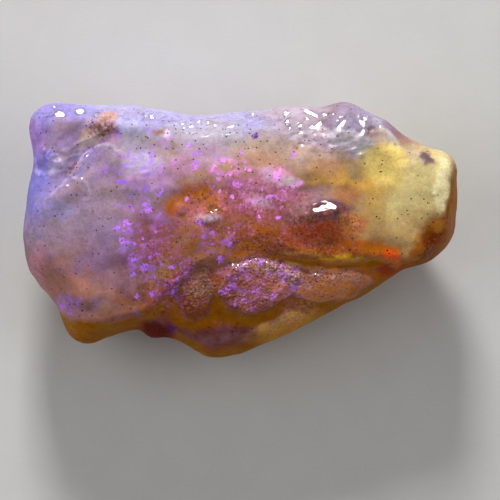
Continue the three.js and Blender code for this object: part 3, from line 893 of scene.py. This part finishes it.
# What lies on the clear amber.
FRONT_STAINS_AND_PAINTED_LIGHT: dict[str, ColourOval] = {
    "nub": ColourOval((-7.4, -8.8), (1.1, 1.1), 0, 1.1, (112, 30, 2)),
    # Partly the amber pocket's own colour and partly painted light, bright enough to lift the shade in the
    # pocket.
    "pocket_amber_and_painted_light": ColourOval((0.3, -1.7), (1.9, 0.7), 12, 0.8, (222, 140, 2)),
    "foot_ochre": ColourOval((-13.8, -8.9), (0.9, 0.4), 10, 0.9, (170, 102, 2), 0.8),
    "brown_slope": ColourOval((13.2, -3.5), (1.6, 0.5), 10, 1.1, (150, 48, 2)),
    "end_brown": ColourOval((17, -1), (2.7, 1.3), 50, 0.9, (138, 72, 2)),
    "end_glow": ColourOval((17.3, 0.4), (0.8, 0.5), 20, 1, (200, 132, 46), 0.7),
    "end_olive": ColourOval((16, -2), (1, 0.6), 40, 1, (108, 62, 10), 0.6),
    "end_dark": ColourOval((16.6, -1.9), (0.8, 0.6), 45, 0.9, (98, 42, 2), 0.7),
    "rim_glow": ColourOval((4.3, -8.5), (2.8, 0.7), 27, 0.9, (222, 158, 64), 0.6),
    "wedge_edge": ColourOval((15.3, -1.9), (1.1, 0.4), 58, 0.9, (198, 118, 36), 0.7),
    "end_tan": ColourOval((18.5, -0.1), (0.6, 1.3), -10, 1, (146, 92, 50), 0.6),
    "slope_gold": ColourOval((11.2, -3.6), (1.1, 0.5), -30, 0.8, (174, 98, 4), 0.9),
    "end_rust": ColourOval((16.9, -0.8), (1.1, 0.3), 30, 1.1, (122, 24, 2), 0.8),
    "rust_fleck": ColourOval((15.2, -0.9), (0.5, 0.24), 45, 1, (184, 118, 18), 0.8),
    "rust_core": ColourOval((13.2, -2.4), (0.8, 0.55), -40, 1.1, (246, 98, 2)),
}


# ---------------------------------------------------------------- the stone's finish


def linear(colour: Rgb) -> tuple[float, float, float, float]:
    """A displayed colour as Blender's linear colour.

    Args:
        colour: red, green and blue from 0 to 255.

    Returns:
        Linear red, green, blue, and an alpha of 1.
    """
    parts = [c / 255 for c in colour]
    parts = [c / 12.92 if c <= 0.04045 else ((c + 0.055) / 1.055) ** 2.4 for c in parts]
    return (parts[0], parts[1], parts[2], 1.0)


@dataclass(frozen=True)
class Cloud:
    """Soft noise that eases from one level to another.

    Attributes:
        size: its size.
        start: the noise level where it starts to rise.
        end: the noise level where it is full.
        low: its value below the start.
        high: its value above the end.
        detail: how many finer octaves it has.
    """

    size: float
    start: float
    end: float
    low: float = 0.0
    high: float = 1.0
    detail: float = 2.0


class Painter:
    """Places and joins the nodes of one shader.

    Attributes:
        tree: the node tree it builds in.
        place: the position on the object, in millimetres.
    """

    def __init__(self, tree: bpy.types.NodeTree) -> None:
        """Starts on a tree.

        Args:
            tree: the node tree to build in.
        """
        self.tree = tree
        metres = self.add("ShaderNodeTexCoord").outputs["Object"]
        self.place = self.vector("SCALE", metres, (0, 0, 0))
        self.place.node.inputs["Scale"].default_value = 1 / MM

    def add(self, kind: str, **settings: object) -> bpy.types.Node:
        """Adds a node.

        Args:
            kind: the node's type name.
            settings: attributes to set on it.

        Returns:
            The node.
        """
        node = self.tree.nodes.new(kind)
        for name, value in settings.items():
            setattr(node, name, value)
        return node

    def feed(self, node: bpy.types.Node, **values: object) -> None:
        """Joins a node's inputs to sockets, or sets their values.

        Args:
            node: the node.
            values: an output socket, a number or a vector for each input, by its name with
                underscores for spaces, or by its number after an underscore.
        """
        for name, value in values.items():
            key = int(name[1:]) if name[1:].isdigit() else name.replace("_", " ")
            if isinstance(value, bpy.types.NodeSocket):
                self.tree.links.new(value, node.inputs[key])
            else:
                node.inputs[key].default_value = value

    def math(self, operation: str, a: object, b: object, clamp: bool = False) -> Socket:
        """One step of arithmetic.

        Args:
            operation: the Math node's operation.
            a: the first value or socket.
            b: the second value or socket.
            clamp: whether the result is held between 0 and 1.

        Returns:
            The result.
        """
        node = self.add("ShaderNodeMath", operation=operation, use_clamp=clamp)
        self.feed(node, _0=a, _1=b)
        return node.outputs[0]

    def times(self, *values: object) -> Socket:
        """The product of values or sockets."""
        return reduce(lambda a, b: self.math("MULTIPLY", a, b), values)

    def most(self, *values: object) -> Socket:
        """The largest of values or sockets."""
        return reduce(lambda a, b: self.math("MAXIMUM", a, b), values)

    def vector(self, operation: str, a: object, b: object) -> Socket:
        """One step of vector arithmetic.

        Args:
            operation: the Vector Math node's operation.
            a: the first vector or socket.
            b: the second vector or socket.

        Returns:
            The resulting vector.
        """
        node = self.add("ShaderNodeVectorMath", operation=operation)
        self.feed(node, _0=a, _1=b)
        return node.outputs["Vector"]

    def parts(self, value: Socket, kind: str = "Color") -> list[Socket]:
        """The three parts of a colour or a vector.

        Args:
            value: its socket.
            kind: Color or XYZ.

        Returns:
            One socket for each part.
        """
        node = self.add(f"ShaderNodeSeparate{kind}")
        self.feed(node, _0=value)
        return list(node.outputs)

    def step(self, value: object, start: float, end: float, low: object = 0.0, high: float = 1.0) -> Socket:
        """Eases a value from one level to another.

        Args:
            value: the value or socket.
            start: where the ease starts.
            end: where it ends.
            low: the result at the start.
            high: the result at the end.

        Returns:
            The result.
        """
        node = self.add("ShaderNodeMapRange", interpolation_type="SMOOTHSTEP")
        self.feed(node, Value=value, From_Min=start, From_Max=end, To_Min=low, To_Max=high)
        return node.outputs["Result"]

    def blend(self, below: Socket | Rgb, above: Socket | Rgb, share: object, mode: str = "MIX") -> Socket:
        """Lays one colour over another.

        Args:
            below: the colour or socket below.
            above: the colour or socket above.
            share: how much of it is laid on.
            mode: the Mix node's blend mode.

        Returns:
            The mixed colour.
        """
        node = self.add("ShaderNodeMix", data_type="RGBA", blend_type=mode)
        below, above = (linear(c) if isinstance(c, tuple) else c for c in (below, above))
        self.feed(node, _0=share, _6=below, _7=above)
        return node.outputs[2]

    def noise(self, size: float, detail: float, place: Socket | None = None) -> Socket:
        """Soft noise.

        Args:
            size: the noise's size.
            detail: how many finer octaves it has.
            place: the position, if it isn't the plain one.

        Returns:
            The noise.
        """
        node = self.add("ShaderNodeTexNoise", noise_dimensions="3D")
        self.feed(node, Vector=place or self.place, Scale=1 / size, Detail=detail)
        return node.outputs[0]

    def cloud(self, cloud: Cloud, place: Socket | None = None) -> Socket:
        """A cloud, at another position than the plain one if it is given."""
        noise = self.noise(cloud.size, cloud.detail, place)
        return self.step(noise, cloud.start, cloud.end, cloud.low, cloud.high)

    def cells(self, size: float, place: Socket | None = None) -> tuple[Socket, Socket]:
        """Cells round scattered points.

        Args:
            size: the cells' size.
            place: the position, if it isn't the plain one.

        Returns:
            The sockets of the distance from the nearest point, and of its random colour.
        """
        node = self.add("ShaderNodeTexVoronoi")
        self.feed(node, Vector=place or self.place, Scale=1 / size)
        return node.outputs["Distance"], node.outputs["Color"]

    def wandering(self, *scales: Point) -> Socket:
        """The position, shifted about so that edges wander.

        Args:
            scales: the size and the reach of each layer of wandering.

        Returns:
            The shifted position.
        """
        moved = self.place
        for size, reach in scales:
            cloud = self.add("ShaderNodeCombineXYZ")
            for part, axis in zip(self.parts(self.noise(size, 1.0).node.outputs["Color"]), cloud.inputs):
                self.tree.links.new(part, axis)
            shift = self.vector("SUBTRACT", cloud.outputs[0], (0.5, 0.5, 0.5))
            moved = self.vector("ADD", moved, self.vector("MULTIPLY", shift, (reach, reach, reach)))
        return moved

    def attribute(self, name: str) -> bpy.types.Node:
        """The node of one of the mesh's own attributes, by its name."""
        return self.add("ShaderNodeAttribute", attribute_name=name)


@dataclass(frozen=True)
class Grains:
    """Coloured grains scattered over a stretch of the skin.

    Attributes:
        zone: where they lie.
        size: how far apart they are.
        strength: how much of the skin's colour a full grain hides.
        tints: their three colours.
    """

    zone: Zone
    size: float
    strength: float
    tints: tuple[Rgb, Rgb, Rgb]


@dataclass(frozen=True)
class OpalFinish:
    """Milky, stained opal with patches of play of colour, pin-prick pits and a wet gloss.

    Attributes:
        amber: the two shades of the clear amber.
        honey: how the first shade is spread through the second.
        amber_and_painted_light_edges: from where to where, in X, Y and Z, the milky body fades into amber
        at the end, at the front and down the sides. That amber is partly the stone's own colour and partly
        painted light coming through the thin edges.
        amber_wander: the size and the reach of the wandering of those edges.
        painted_amber_glow: a painted glow that the clear amber gives off, in place of the light that comes
        through it.
        plate_rim: the pale rim of the two plates below the lip, and its strength.
        lip: the thin bright line along the main body's lip.
        crest: the pale line along the crests beside the scoop, partly their own colour and partly a painted
        highlight along their tops.
        crest_gaps: how that line is broken.
        tinges: the clouds of other colours.
        tinge_end: from where to where, in X, the tinges fade out towards the cream end.
        grains: the coloured grains. The pale ones on the drusy stretches and the ledge's rim are partly
        painted glints of crystal facets.
        grain_level: the random level above which a cell is a grain.
        grain_wander: the size and the reach of the wandering of the grains' edges.
        tones: the clouds that lighten and darken the stone.
        pinks: the play of colour's two ends.
        hue: how the play of colour wanders between them.
        haze: the faint play of colour between the flakes.
        clusters: how the small flakes cluster.
        flakes: the spacing of each kind of small flake, and the share of places that hold one.
        flake_reach: how far from its middle the largest small flake reaches, beside its spacing.
        flake_edge: how sharp the small flakes' edges are.
        flake_light: the strength of the faintest and of the strongest small flake.
        flake_wander: the size and the reach of each layer of wandering of their edges.
        fray: what frays the large flakes.
        large_flakes: the levels of fray and flake together from which to which a large flake shows.
        large_light: how strong the large flakes are.
        veils: how much the plates dim the play of colour, and how much clear amber does.
        pits: each kind's spacing, radius, the random level above which a cell holds one, and how
            far above it the pit is full.
        pit_edge: how much closer and farther than its radius a pit starts and ends.
        pit_crowds: where pits crowd.
        pepper: how much they crowd in the peppered stretches.
        grime: the colour of the pits, and its strength.
        gloss: the roughness of plain skin.
        frost: how much rougher drusy skin is.
        dull_druse: how dull the drusy stretches are.
        sparkle: what breaks up the wet stretches of the back edge.
        side_wetness: how wet the sides look, beside 1 for the top face, and how wet dull bands look.
        ripples: the zones with fine ripples, and the ripples' size and height.
        peel: the size, the detail and the height of the faint orange peel.
        grit: the size and the height of the drusy grain.
        pit_depth: how deep the pits look.
        constants: the shader's plain inputs. The emission strength is that of the painted glow of the
        flakes and of the clear amber, and the last one is how far light wanders inside the stone, in
        metres.
    """

    amber: tuple[Rgb, Rgb] = ((150, 98, 10), (150, 88, 2))
    honey: Cloud = Cloud(1.8, 0.4, 0.65)
    amber_and_painted_light_edges: tuple[Point, Point, Point] = ((15.5, 17.5), (1.0, -4.0), (6.0, 4.4))
    amber_wander: Point = (1.1, 0.8)
    # A painted glow that the clear amber gives off in place of the light coming through it.
    painted_amber_glow: Rgb = (70, 38, 0)
    plate_rim: tuple[Rgb, float] = ((206, 160, 140), 0.2)
    lip: Rgb = (176, 112, 50)
    crest: Rgb = (200, 184, 222)
    crest_gaps: Cloud = Cloud(0.5, 0.4, 0.6, 0.05, 0.5)
    tinges: tuple[tuple[Rgb, Cloud], ...] = (
        ((206, 184, 200), Cloud(2.4, 0.52, 0.8, 0.0, 0.2, 4.0)),
        ((150, 112, 84), Cloud(1.0, 0.5, 0.72, 0.0, 0.28, 4.0)),
        ((138, 116, 196), Cloud(1.7, 0.53, 0.72, 0.0, 0.25, 4.0)),
    )
    tinge_end: Point = (11.0, 5.0)
    grains: tuple[Grains, ...] = (
        # In the first two rows the pale tints are partly painted glints of crystal facets, beside the
        # grains' own colours.
        Grains(Zone.DRUSY, 0.17, 0.3, ((200, 172, 164), (84, 46, 34), (160, 84, 180))),
        Grains(Zone.LEDGE_RIM, 0.15, 0.8, ((228, 196, 200), (206, 160, 176), (120, 70, 60))),
        Grains(Zone.HEART, 0.2, 0.52, ((214, 128, 160), (168, 90, 26), (118, 52, 74))),
        Grains(Zone.DIRT, 0.26, 0.75, ((92, 58, 54), (128, 88, 84), (206, 176, 190))),
        Grains(Zone.RUSTY, 0.17, 0.55, ((200, 116, 84), (86, 34, 20), (160, 78, 16))),
        Grains(Zone.END_CREST, 0.22, 0.4, ((176, 120, 70), (92, 46, 22), (150, 110, 110))),
    )
    grain_level: float = 0.62
    grain_wander: Point = (0.1, 0.14)
    tones: tuple[Cloud, ...] = (Cloud(0.9, 0.3, 0.7, 0.9, 1.09), Cloud(0.22, 0.3, 0.7, 0.91, 1.09))
    pinks: tuple[Rgb, Rgb] = ((172, 104, 250), (250, 146, 250))
    hue: Cloud = Cloud(1.6, 0.35, 0.65, -0.3, 0.3)
    haze: Cloud = Cloud(0.7, 0.4, 0.72, 0.0, 0.4, 3.0)
    clusters: Cloud = Cloud(1.5, 0.4, 0.62, detail=3.0)
    flakes: tuple[Point, ...] = ((0.78, 0.3), (0.46, 0.42), (0.25, 0.3))
    flake_reach: float = 0.62
    flake_edge: float = 4.0
    flake_light: Point = (0.5, 0.95)
    flake_wander: tuple[Point, ...] = ((0.3, 0.35), (0.12, 0.2))
    fray: Cloud = Cloud(0.24, 0.35, 0.65)
    large_flakes: Point = (0.85, 1.85)
    large_light: float = 0.92
    veils: Point = (0.5, 0.8)
    pits: tuple[tuple[float, ...], ...] = ((0.34, 0.19, 0.83, 0.05), (1.4, 0.06, 0.66, 0.05))
    pit_edge: float = 0.3
    pit_crowds: Cloud = Cloud(3.4, 0.4, 0.6, 0.0, 0.12)
    pepper: float = 0.35
    grime: tuple[Rgb, float] = ((66, 30, 18), 0.95)
    gloss: Cloud = Cloud(1.4, 0.35, 0.65, 0.2, 0.3, 3.0)
    frost: float = 0.15
    dull_druse: float = 0.5
    sparkle: Cloud = Cloud(0.28, 0.5, 0.58, 1.0, 0.0, 1.0)
    side_wetness: Point = (0.14, 0.02)
    ripples: tuple[tuple[Zone, float, float], ...] = ((Zone.WAVES, 0.5, 0.1), (Zone.GLINTS, 0.4, 0.3))
    peel: Triple = (0.5, 3.0, 0.005)
    grit: Point = (0.22, 0.08)
    pit_depth: float = 0.05
    constants: tuple[tuple[str, object], ...] = (
        ("Emission Strength", 0.36),
        ("IOR", 1.45),
        ("Specular IOR Level", 0.0),
        ("Coat Roughness", 0.06),
        ("Subsurface Weight", 0.3),
        ("Subsurface Radius", (1.0, 0.55, 0.4)),
        ("Subsurface Scale", 0.5 * MM),
    )

    def material(self) -> bpy.types.Material:
        """Builds the material.

        Returns:
            The finished material.
        """
        material = bpy.data.materials.new("milky_fire_opal")
        material.use_nodes = True
        shader = material.node_tree.nodes["Principled BSDF"]
        OpalPainter(material.node_tree, self).paint(shader)
        return material


class OpalPainter(Painter):
    """Paints the stone's finish.

    Attributes:
        finish: the finish.
        zones: the weights of the zones met so far.
        clear: how clear and amber the stone is, from 0 for milky to 1 for clear. The amber is partly the
        stone's own colour and partly painted light coming through its thin edges.
    """

    def __init__(self, tree: bpy.types.NodeTree, finish: OpalFinish) -> None:
        """Starts on a tree.

        Args:
            tree: the node tree to build in.
            finish: the finish to paint.
        """
        super().__init__(tree)
        self.finish = finish
        self.zones: dict[Zone, Socket] = {}
        self.clear = self._clear_and_painted_light_share()

    def paint(self, shader: bpy.types.Node) -> None:
        """Builds all that leads to the shader.

        Args:
            shader: the Principled node.
        """
        colour, play = self._play_of_colour(self._body_colour())
        colour, pits = self._pits(colour)
        # The emission is a painted glow: the flakes give off light of their own, and the clear amber gives
        # off a glow in place of the light coming through it.
        self.feed(
            shader,
            Base_Color=colour,
            Roughness=self._roughness(),
            Normal=self._grain(pits),
            Emission_Color=self.blend(play, self.finish.painted_amber_glow, self.clear, "ADD"),
            Coat_Weight=self._wetness(),
        )
        for name, value in self.finish.constants:
            shader.inputs[name].default_value = value

    def zone(self, zone: Zone) -> Socket:
        """The weight of one of the stone's zones.

        Args:
            zone: the zone.

        Returns:
            The weight.
        """
        if zone not in self.zones:
            self.zones[zone] = self.attribute(zone.value).outputs["Fac"]
        return self.zones[zone]

    def _clear_and_painted_light_share(self) -> Socket:
        """How clear the stone is: along its thin front edge, its sides and its trenches. The amber laid
        there is partly the stone's own colour and partly painted light coming through these thin stretches.

        Returns:
            The share, from 0 for milky to 1 for clear.
        """
        axes = self.parts(self.wandering(self.finish.amber_wander), "XYZ")
        end, front, low = (self.step(axis, *edge) for axis, edge in zip(axes, self.finish.amber_and_painted_light_edges))
        share = self.times(low, self.most(front, end))
        share = self.most(share, self.zone(Zone.CLEAR), self.zone(Zone.TRENCH))
        return self.math("SUBTRACT", share, self.zone(Zone.PLATES), True)

    def _body_colour(self) -> Socket:
        """The milky body with its stains and painted light, and the clear amber.

        Returns:
            The colour.
        """
        finish = self.finish
        colour = self.attribute(Coat.BODY.value).outputs["Color"]
        blue_side = self.step(self.parts(self.place, "XYZ")[0], *finish.tinge_end)
        for tint, cloud in finish.tinges:
            colour = self.blend(colour, tint, self.times(self.cloud(cloud), blue_side))
        amber = self.blend(finish.amber[1], finish.amber[0], self.cloud(finish.honey))
        # The amber over the clear stretches is partly the stone's own colour and partly painted light
        # coming through its thin edges and trenches.
        colour = self.blend(colour, amber, self.clear)
        rim, strength = finish.plate_rim
        colour = self.blend(colour, rim, self.times(self.zone(Zone.PLATE_EDGE), strength))
        front = self.attribute(Coat.FRONT.value)
        colour = self.blend(colour, BLACK, front.outputs["Alpha"])
        colour = self.blend(colour, front.outputs["Color"], 1.0, "ADD")
        colour = self.blend(colour, finish.lip, self.zone(Zone.LIP))
        # The pale crest line is partly the crests' own colour and partly a painted highlight along their
        # tops.
        crests = self.times(self.zone(Zone.CRESTS), self.cloud(finish.crest_gaps))
        colour = self.blend(colour, finish.crest, crests)
        colour = self._sugar(colour)
        for cloud in finish.tones:
            tone = self.add("ShaderNodeCombineColor")
            shade = self.cloud(cloud)
            self.feed(tone, _0=shade, _1=shade, _2=shade)
            colour = self.blend(colour, tone.outputs[0], 1.0, "MULTIPLY")
        return colour

    def _sugar(self, colour: Socket) -> Socket:
        """Scatters the coloured grains over their stretches. The pale grains on the drusy stretches and the
        ledge's rim are partly painted glints of crystal facets.

        Args:
            colour: the colour so far.

        Returns:
            The colour with its grains.
        """
        ragged = self.wandering(self.finish.grain_wander)
        for grains in self.finish.grains:
            channels = self.parts(self.cells(grains.size, ragged)[1])
            for channel, tint in zip(channels, grains.tints):
                lit = self.step(channel, self.finish.grain_level, 1.0, 0.0, grains.strength)
                colour = self.blend(colour, tint, self.times(lit, self.zone(grains.zone)))
        return colour

    def _play_of_colour(self, colour: Socket) -> tuple[Socket, Socket]:
        """Lays the flakes of violet and magenta over the body.

        Args:
            colour: the body's colour.

        Returns:
            The colour with its flakes, and the painted glow that the flakes give off.
        """
        finish = self.finish
        ragged = self.wandering(*finish.flake_wander)
        flakes = self.cloud(finish.haze, ragged)
        for size, chance in finish.flakes:
            away, random = self.cells(size, ragged)
            luck, light, _ = self.parts(random)
            reach = self.step(luck, 1 - chance, 1.0, 0.0, finish.flake_reach)
            island = self.math("SUBTRACT", reach, away)
            island = self.math("MULTIPLY", island, finish.flake_edge, True)
            light = self.step(light, 0.0, 1.0, *finish.flake_light)
            flakes = self.most(flakes, self.times(island, light))
        plates, amber = finish.veils
        bare = self.most(self.clear, self.times(self.zone(Zone.PLATES), plates))
        milky = self.math("SUBTRACT", 1.0, self.times(bare, amber))
        flakes = self.times(flakes, self.times(self.zone(Zone.PLAY), self.cloud(finish.clusters)))
        frayed = self.math("ADD", self.cloud(finish.fray), self.zone(Zone.FLAKES))
        flakes = self.most(flakes, self.step(frayed, *finish.large_flakes, 0.0, finish.large_light))
        share = self.math("MULTIPLY", flakes, milky, True)
        hue = self.math("ADD", self.zone(Zone.PINK), self.cloud(finish.hue), True)
        tint = self.blend(*finish.pinks, hue)
        # The second colour returned is the flakes' painted glow.
        return self.blend(colour, tint, share), self.blend(BLACK, tint, share)

    def _pits(self, colour: Socket) -> tuple[Socket, Socket]:
        """Sinks the dark pin-prick pits into the surface.

        Args:
            colour: the colour so far.

        Returns:
            The colour with its pits, and the pits' mask.
        """
        finish = self.finish
        pepper = self.times(self.zone(Zone.PEPPER), finish.pepper)
        crowd = self.math("ADD", self.cloud(finish.pit_crowds), pepper)
        near, far = 1 - finish.pit_edge, 1 + finish.pit_edge
        kinds = []
        for size, radius, level, growth in finish.pits:
            away, random = self.cells(size)
            luck = self.math("ADD", self.parts(random)[1], crowd)
            core = self.step(away, radius * far, radius * near)
            kinds.append(self.times(self.step(luck, level, level + growth), core))
        pits = self.most(*kinds)
        grime, strength = finish.grime
        return self.blend(colour, grime, self.times(pits, strength)), pits

    def _wetness(self) -> Socket:
        """How wet the skin looks: most on the top face, least on its clear and drusy stretches.

        Returns:
            The weight of the coat.
        """
        band, collar = self.zone(Zone.BACK_BAND), self.zone(Zone.KNOB_COLLAR)
        plain = self.math("SUBTRACT", 1.0, self.zone(Zone.GLINTS))
        band_dull = self.times(band, self.most(self.cloud(self.finish.sparkle), plain))
        drusy = self.times(self.zone(Zone.DRUSY), self.finish.dull_druse)
        dull = self.most(self.clear, drusy, band_dull, collar)
        wet = self.times(self.zone(Zone.FACE), self.math("SUBTRACT", 1.0, dull, True))
        sides = self.step(self.most(band, collar), 0.0, 1.0, *self.finish.side_wetness)
        return self.most(wet, sides, self.zone(Zone.POLISH))

    def _roughness(self) -> Socket:
        """The body's own roughness below the wet skin, with frost on its drusy stretches."""
        frost = self.times(self.zone(Zone.DRUSY), self.finish.frost)
        return self.math("ADD", self.cloud(self.finish.gloss), frost)

    def _grain(self, pits: Socket) -> Socket:
        """The finest relief: a faint orange peel, ripples, drusy grain and the pits' hollows.

        Args:
            pits: the pits' mask.

        Returns:
            The normal.
        """
        (peel_size, detail, peel), (grit_size, grit) = self.finish.peel, self.finish.grit
        grit = self.times(self.cells(grit_size)[0], self.zone(Zone.DRUSY), grit)
        height = self.math("ADD", self.times(self.noise(peel_size, detail), peel), grit)
        for zone, size, rise in self.finish.ripples:
            where = self.math("SUBTRACT", self.zone(zone), self.zone(Zone.POLISH), True)
            height = self.math("ADD", height, self.times(self.noise(size, 1.0), rise, where))
        height = self.math("SUBTRACT", height, self.times(pits, self.finish.pit_depth))
        bump = self.add("ShaderNodeBump")
        self.feed(bump, Height=height, Distance=MM, Strength=1.0)
        return bump.outputs[0]


@dataclass(frozen=True)
class FloorFinish:
    """Plain pale board.

    Attributes:
        colour: its colour as displayed.
        shade: how dark its mottles are, beside 1 for the board.
        mottle: the mottles' size and detail.
        roughness: its roughness.
    """

    colour: Rgb = (208, 207, 205)
    shade: float = 0.97
    mottle: Point = (10 / 3, 2.0)
    roughness: float = 0.7

    def material(self) -> bpy.types.Material:
        """Builds the material.

        Returns:
            The finished material.
        """
        material = bpy.data.materials.new("pale_board")
        material.use_nodes = True
        paint = Painter(material.node_tree)
        darker = tuple(int(c * self.shade) for c in self.colour)
        colour = paint.blend(self.colour, darker, paint.noise(*self.mottle))
        shader = material.node_tree.nodes["Principled BSDF"]
        paint.feed(shader, Base_Color=colour, Roughness=self.roughness)
        return material


# ---------------------------------------------------------------- the studio


@dataclass(frozen=True)
class Softbox:
    """A square soft light.

    Attributes:
        name: its name.
        place: where it hangs, in metres.
        side: its side, in metres.
        watts: its power.
        mirrored: whether it shows in glossy surfaces.
    """

    name: str
    place: Triple
    side: float
    watts: float
    mirrored: bool = True


@dataclass
class Studio:
    """A pale floor, soft lights and the camera that looks straight down on the stone.

    Attributes:
        floor_side: the floor's side, in metres.
        frame_width: the width that the picture takes in at the stone's rim.
        aim: the point of the plan at the picture's middle.
        rim_height: the height of the stone's rim.
        camera_height: how far above the rim the camera is, in metres.
        sensor: the width of the camera's sensor.
        clip: the nearest and the farthest that the camera sees, in metres.
        sky: the brightness of the room.
        lights: the soft lights.
    """

    floor_side: float = 4.0
    frame_width: float = 43.78
    aim: Point = (0.83, -1.75)
    rim_height: float = 7.0
    camera_height: float = 0.75
    sensor: float = 36.0
    clip: Point = (0.01, 10.0)
    sky: float = 0.12
    lights: tuple[Softbox, ...] = (
        Softbox("key", (-0.04, 0.44, 0.21), 0.1, 2.6),
        Softbox("left", (-0.38, 0.06, 0.36), 0.5, 1.0, False),
        Softbox("right", (0.38, 0.06, 0.36), 0.5, 0.8, False),
    )

    def build(self) -> None:
        """Sets up the floor, the lights, the room and the camera."""
        self._floor()
        for light in self.lights:
            self._light(light)
        self._room()
        self._camera()

    def _floor(self) -> None:
        """Lays the floor."""
        bpy.ops.object.select_all(action="DESELECT")
        bpy.ops.mesh.primitive_plane_add(size=self.floor_side)
        floor = bpy.context.object
        floor.name = "floor"
        floor.data.materials.append(FloorFinish().material())

    def _light(self, softbox: Softbox) -> None:
        """Hangs one softbox, facing the stone.

        Args:
            softbox: its size, place and power.
        """
        bpy.ops.object.light_add(type="AREA", location=softbox.place)
        light = bpy.context.object
        light.name = softbox.name
        light.rotation_euler = Vector(softbox.place).to_track_quat("Z", "Y").to_euler()
        light.data.shape = "RECTANGLE"
        light.data.size = light.data.size_y = softbox.side
        light.data.energy = softbox.watts
        light.visible_camera = False
        light.visible_glossy = softbox.mirrored

    def _room(self) -> None:
        """Lights the room evenly and sets a plain view transform."""
        world = bpy.data.worlds.new("room")
        bpy.context.scene.world = world
        world.use_nodes = True
        background = world.node_tree.nodes["Background"]
        background.inputs["Color"].default_value = (1.0, 1.0, 1.0, 1.0)
        background.inputs["Strength"].default_value = self.sky
        bpy.context.scene.view_settings.view_transform = "Standard"

    def _camera(self) -> None:
        """Sets the camera straight above the picture's middle, with +Y up in the picture."""
        height = self.rim_height * MM + self.camera_height
        bpy.ops.object.camera_add(location=(self.aim[0] * MM, self.aim[1] * MM, height))
        camera = bpy.context.object
        camera.rotation_euler = (0.0, 0.0, 0.0)
        camera.data.sensor_width = self.sensor
        camera.data.lens = self.sensor * self.camera_height / (self.frame_width * MM)
        camera.data.clip_start, camera.data.clip_end = self.clip
        bpy.context.scene.camera = camera


# ---------------------------------------------------------------- hands


def select_only(thing: bpy.types.Object) -> None:
    """Selects one object and nothing else.

    Args:
        thing: the object, which becomes the active one.
    """
    bpy.ops.object.select_all(action="DESELECT")
    thing.select_set(True)
    bpy.context.view_layer.objects.active = thing


def apply_modifiers(piece: bpy.types.Object) -> None:
    """Applies all of a piece's modifiers in order.

    Args:
        piece: the piece.
    """
    select_only(piece)
    for name in [modifier.name for modifier in piece.modifiers]:
        bpy.ops.object.modifier_apply(modifier=name)


def vertex_points(piece: bpy.types.Object) -> np.ndarray:
    """The places of a piece's vertices.

    Args:
        piece: the piece.

    Returns:
        One row for each vertex, in millimetres.
    """
    points = np.zeros(len(piece.data.vertices) * 3)
    piece.data.vertices.foreach_get("co", points)
    return points.reshape(-1, 3) / MM


def upward(piece: bpy.types.Object) -> np.ndarray:
    """How far up the normals of a piece's vertices point.

    Args:
        piece: the piece.

    Returns:
        From -1 for down to 1 for up, for each vertex.
    """
    normals = np.zeros(len(piece.data.vertices) * 3)
    piece.data.vertices.foreach_get("normal", normals)
    return normals.reshape(-1, 3)[:, 2]


def mark(piece: bpy.types.Object, zone: Zone, weights: np.ndarray) -> None:
    """Gives a piece a vertex group for a zone.

    Args:
        piece: the piece.
        zone: the zone.
        weights: a weight from 0 to 1 for each vertex.
    """
    group = piece.vertex_groups.new(name=zone.value)
    rounded = np.round(weights * WEIGHT_LEVELS).astype(int)
    for level in range(1, WEIGHT_LEVELS + 1):
        members = np.flatnonzero(rounded == level).tolist()
        if members:
            group.add(members, level / WEIGHT_LEVELS, "REPLACE")


def main() -> None:
    """Builds the studio and the stone."""
    logging.basicConfig(level=logging.INFO, format="%(name)s: %(message)s")
    Studio().build()
    LOG.info("studio set up")
    stone = OpalStone().build()
    LOG.info("built %s", stone.name)


if __name__ == "__main__":
    main()
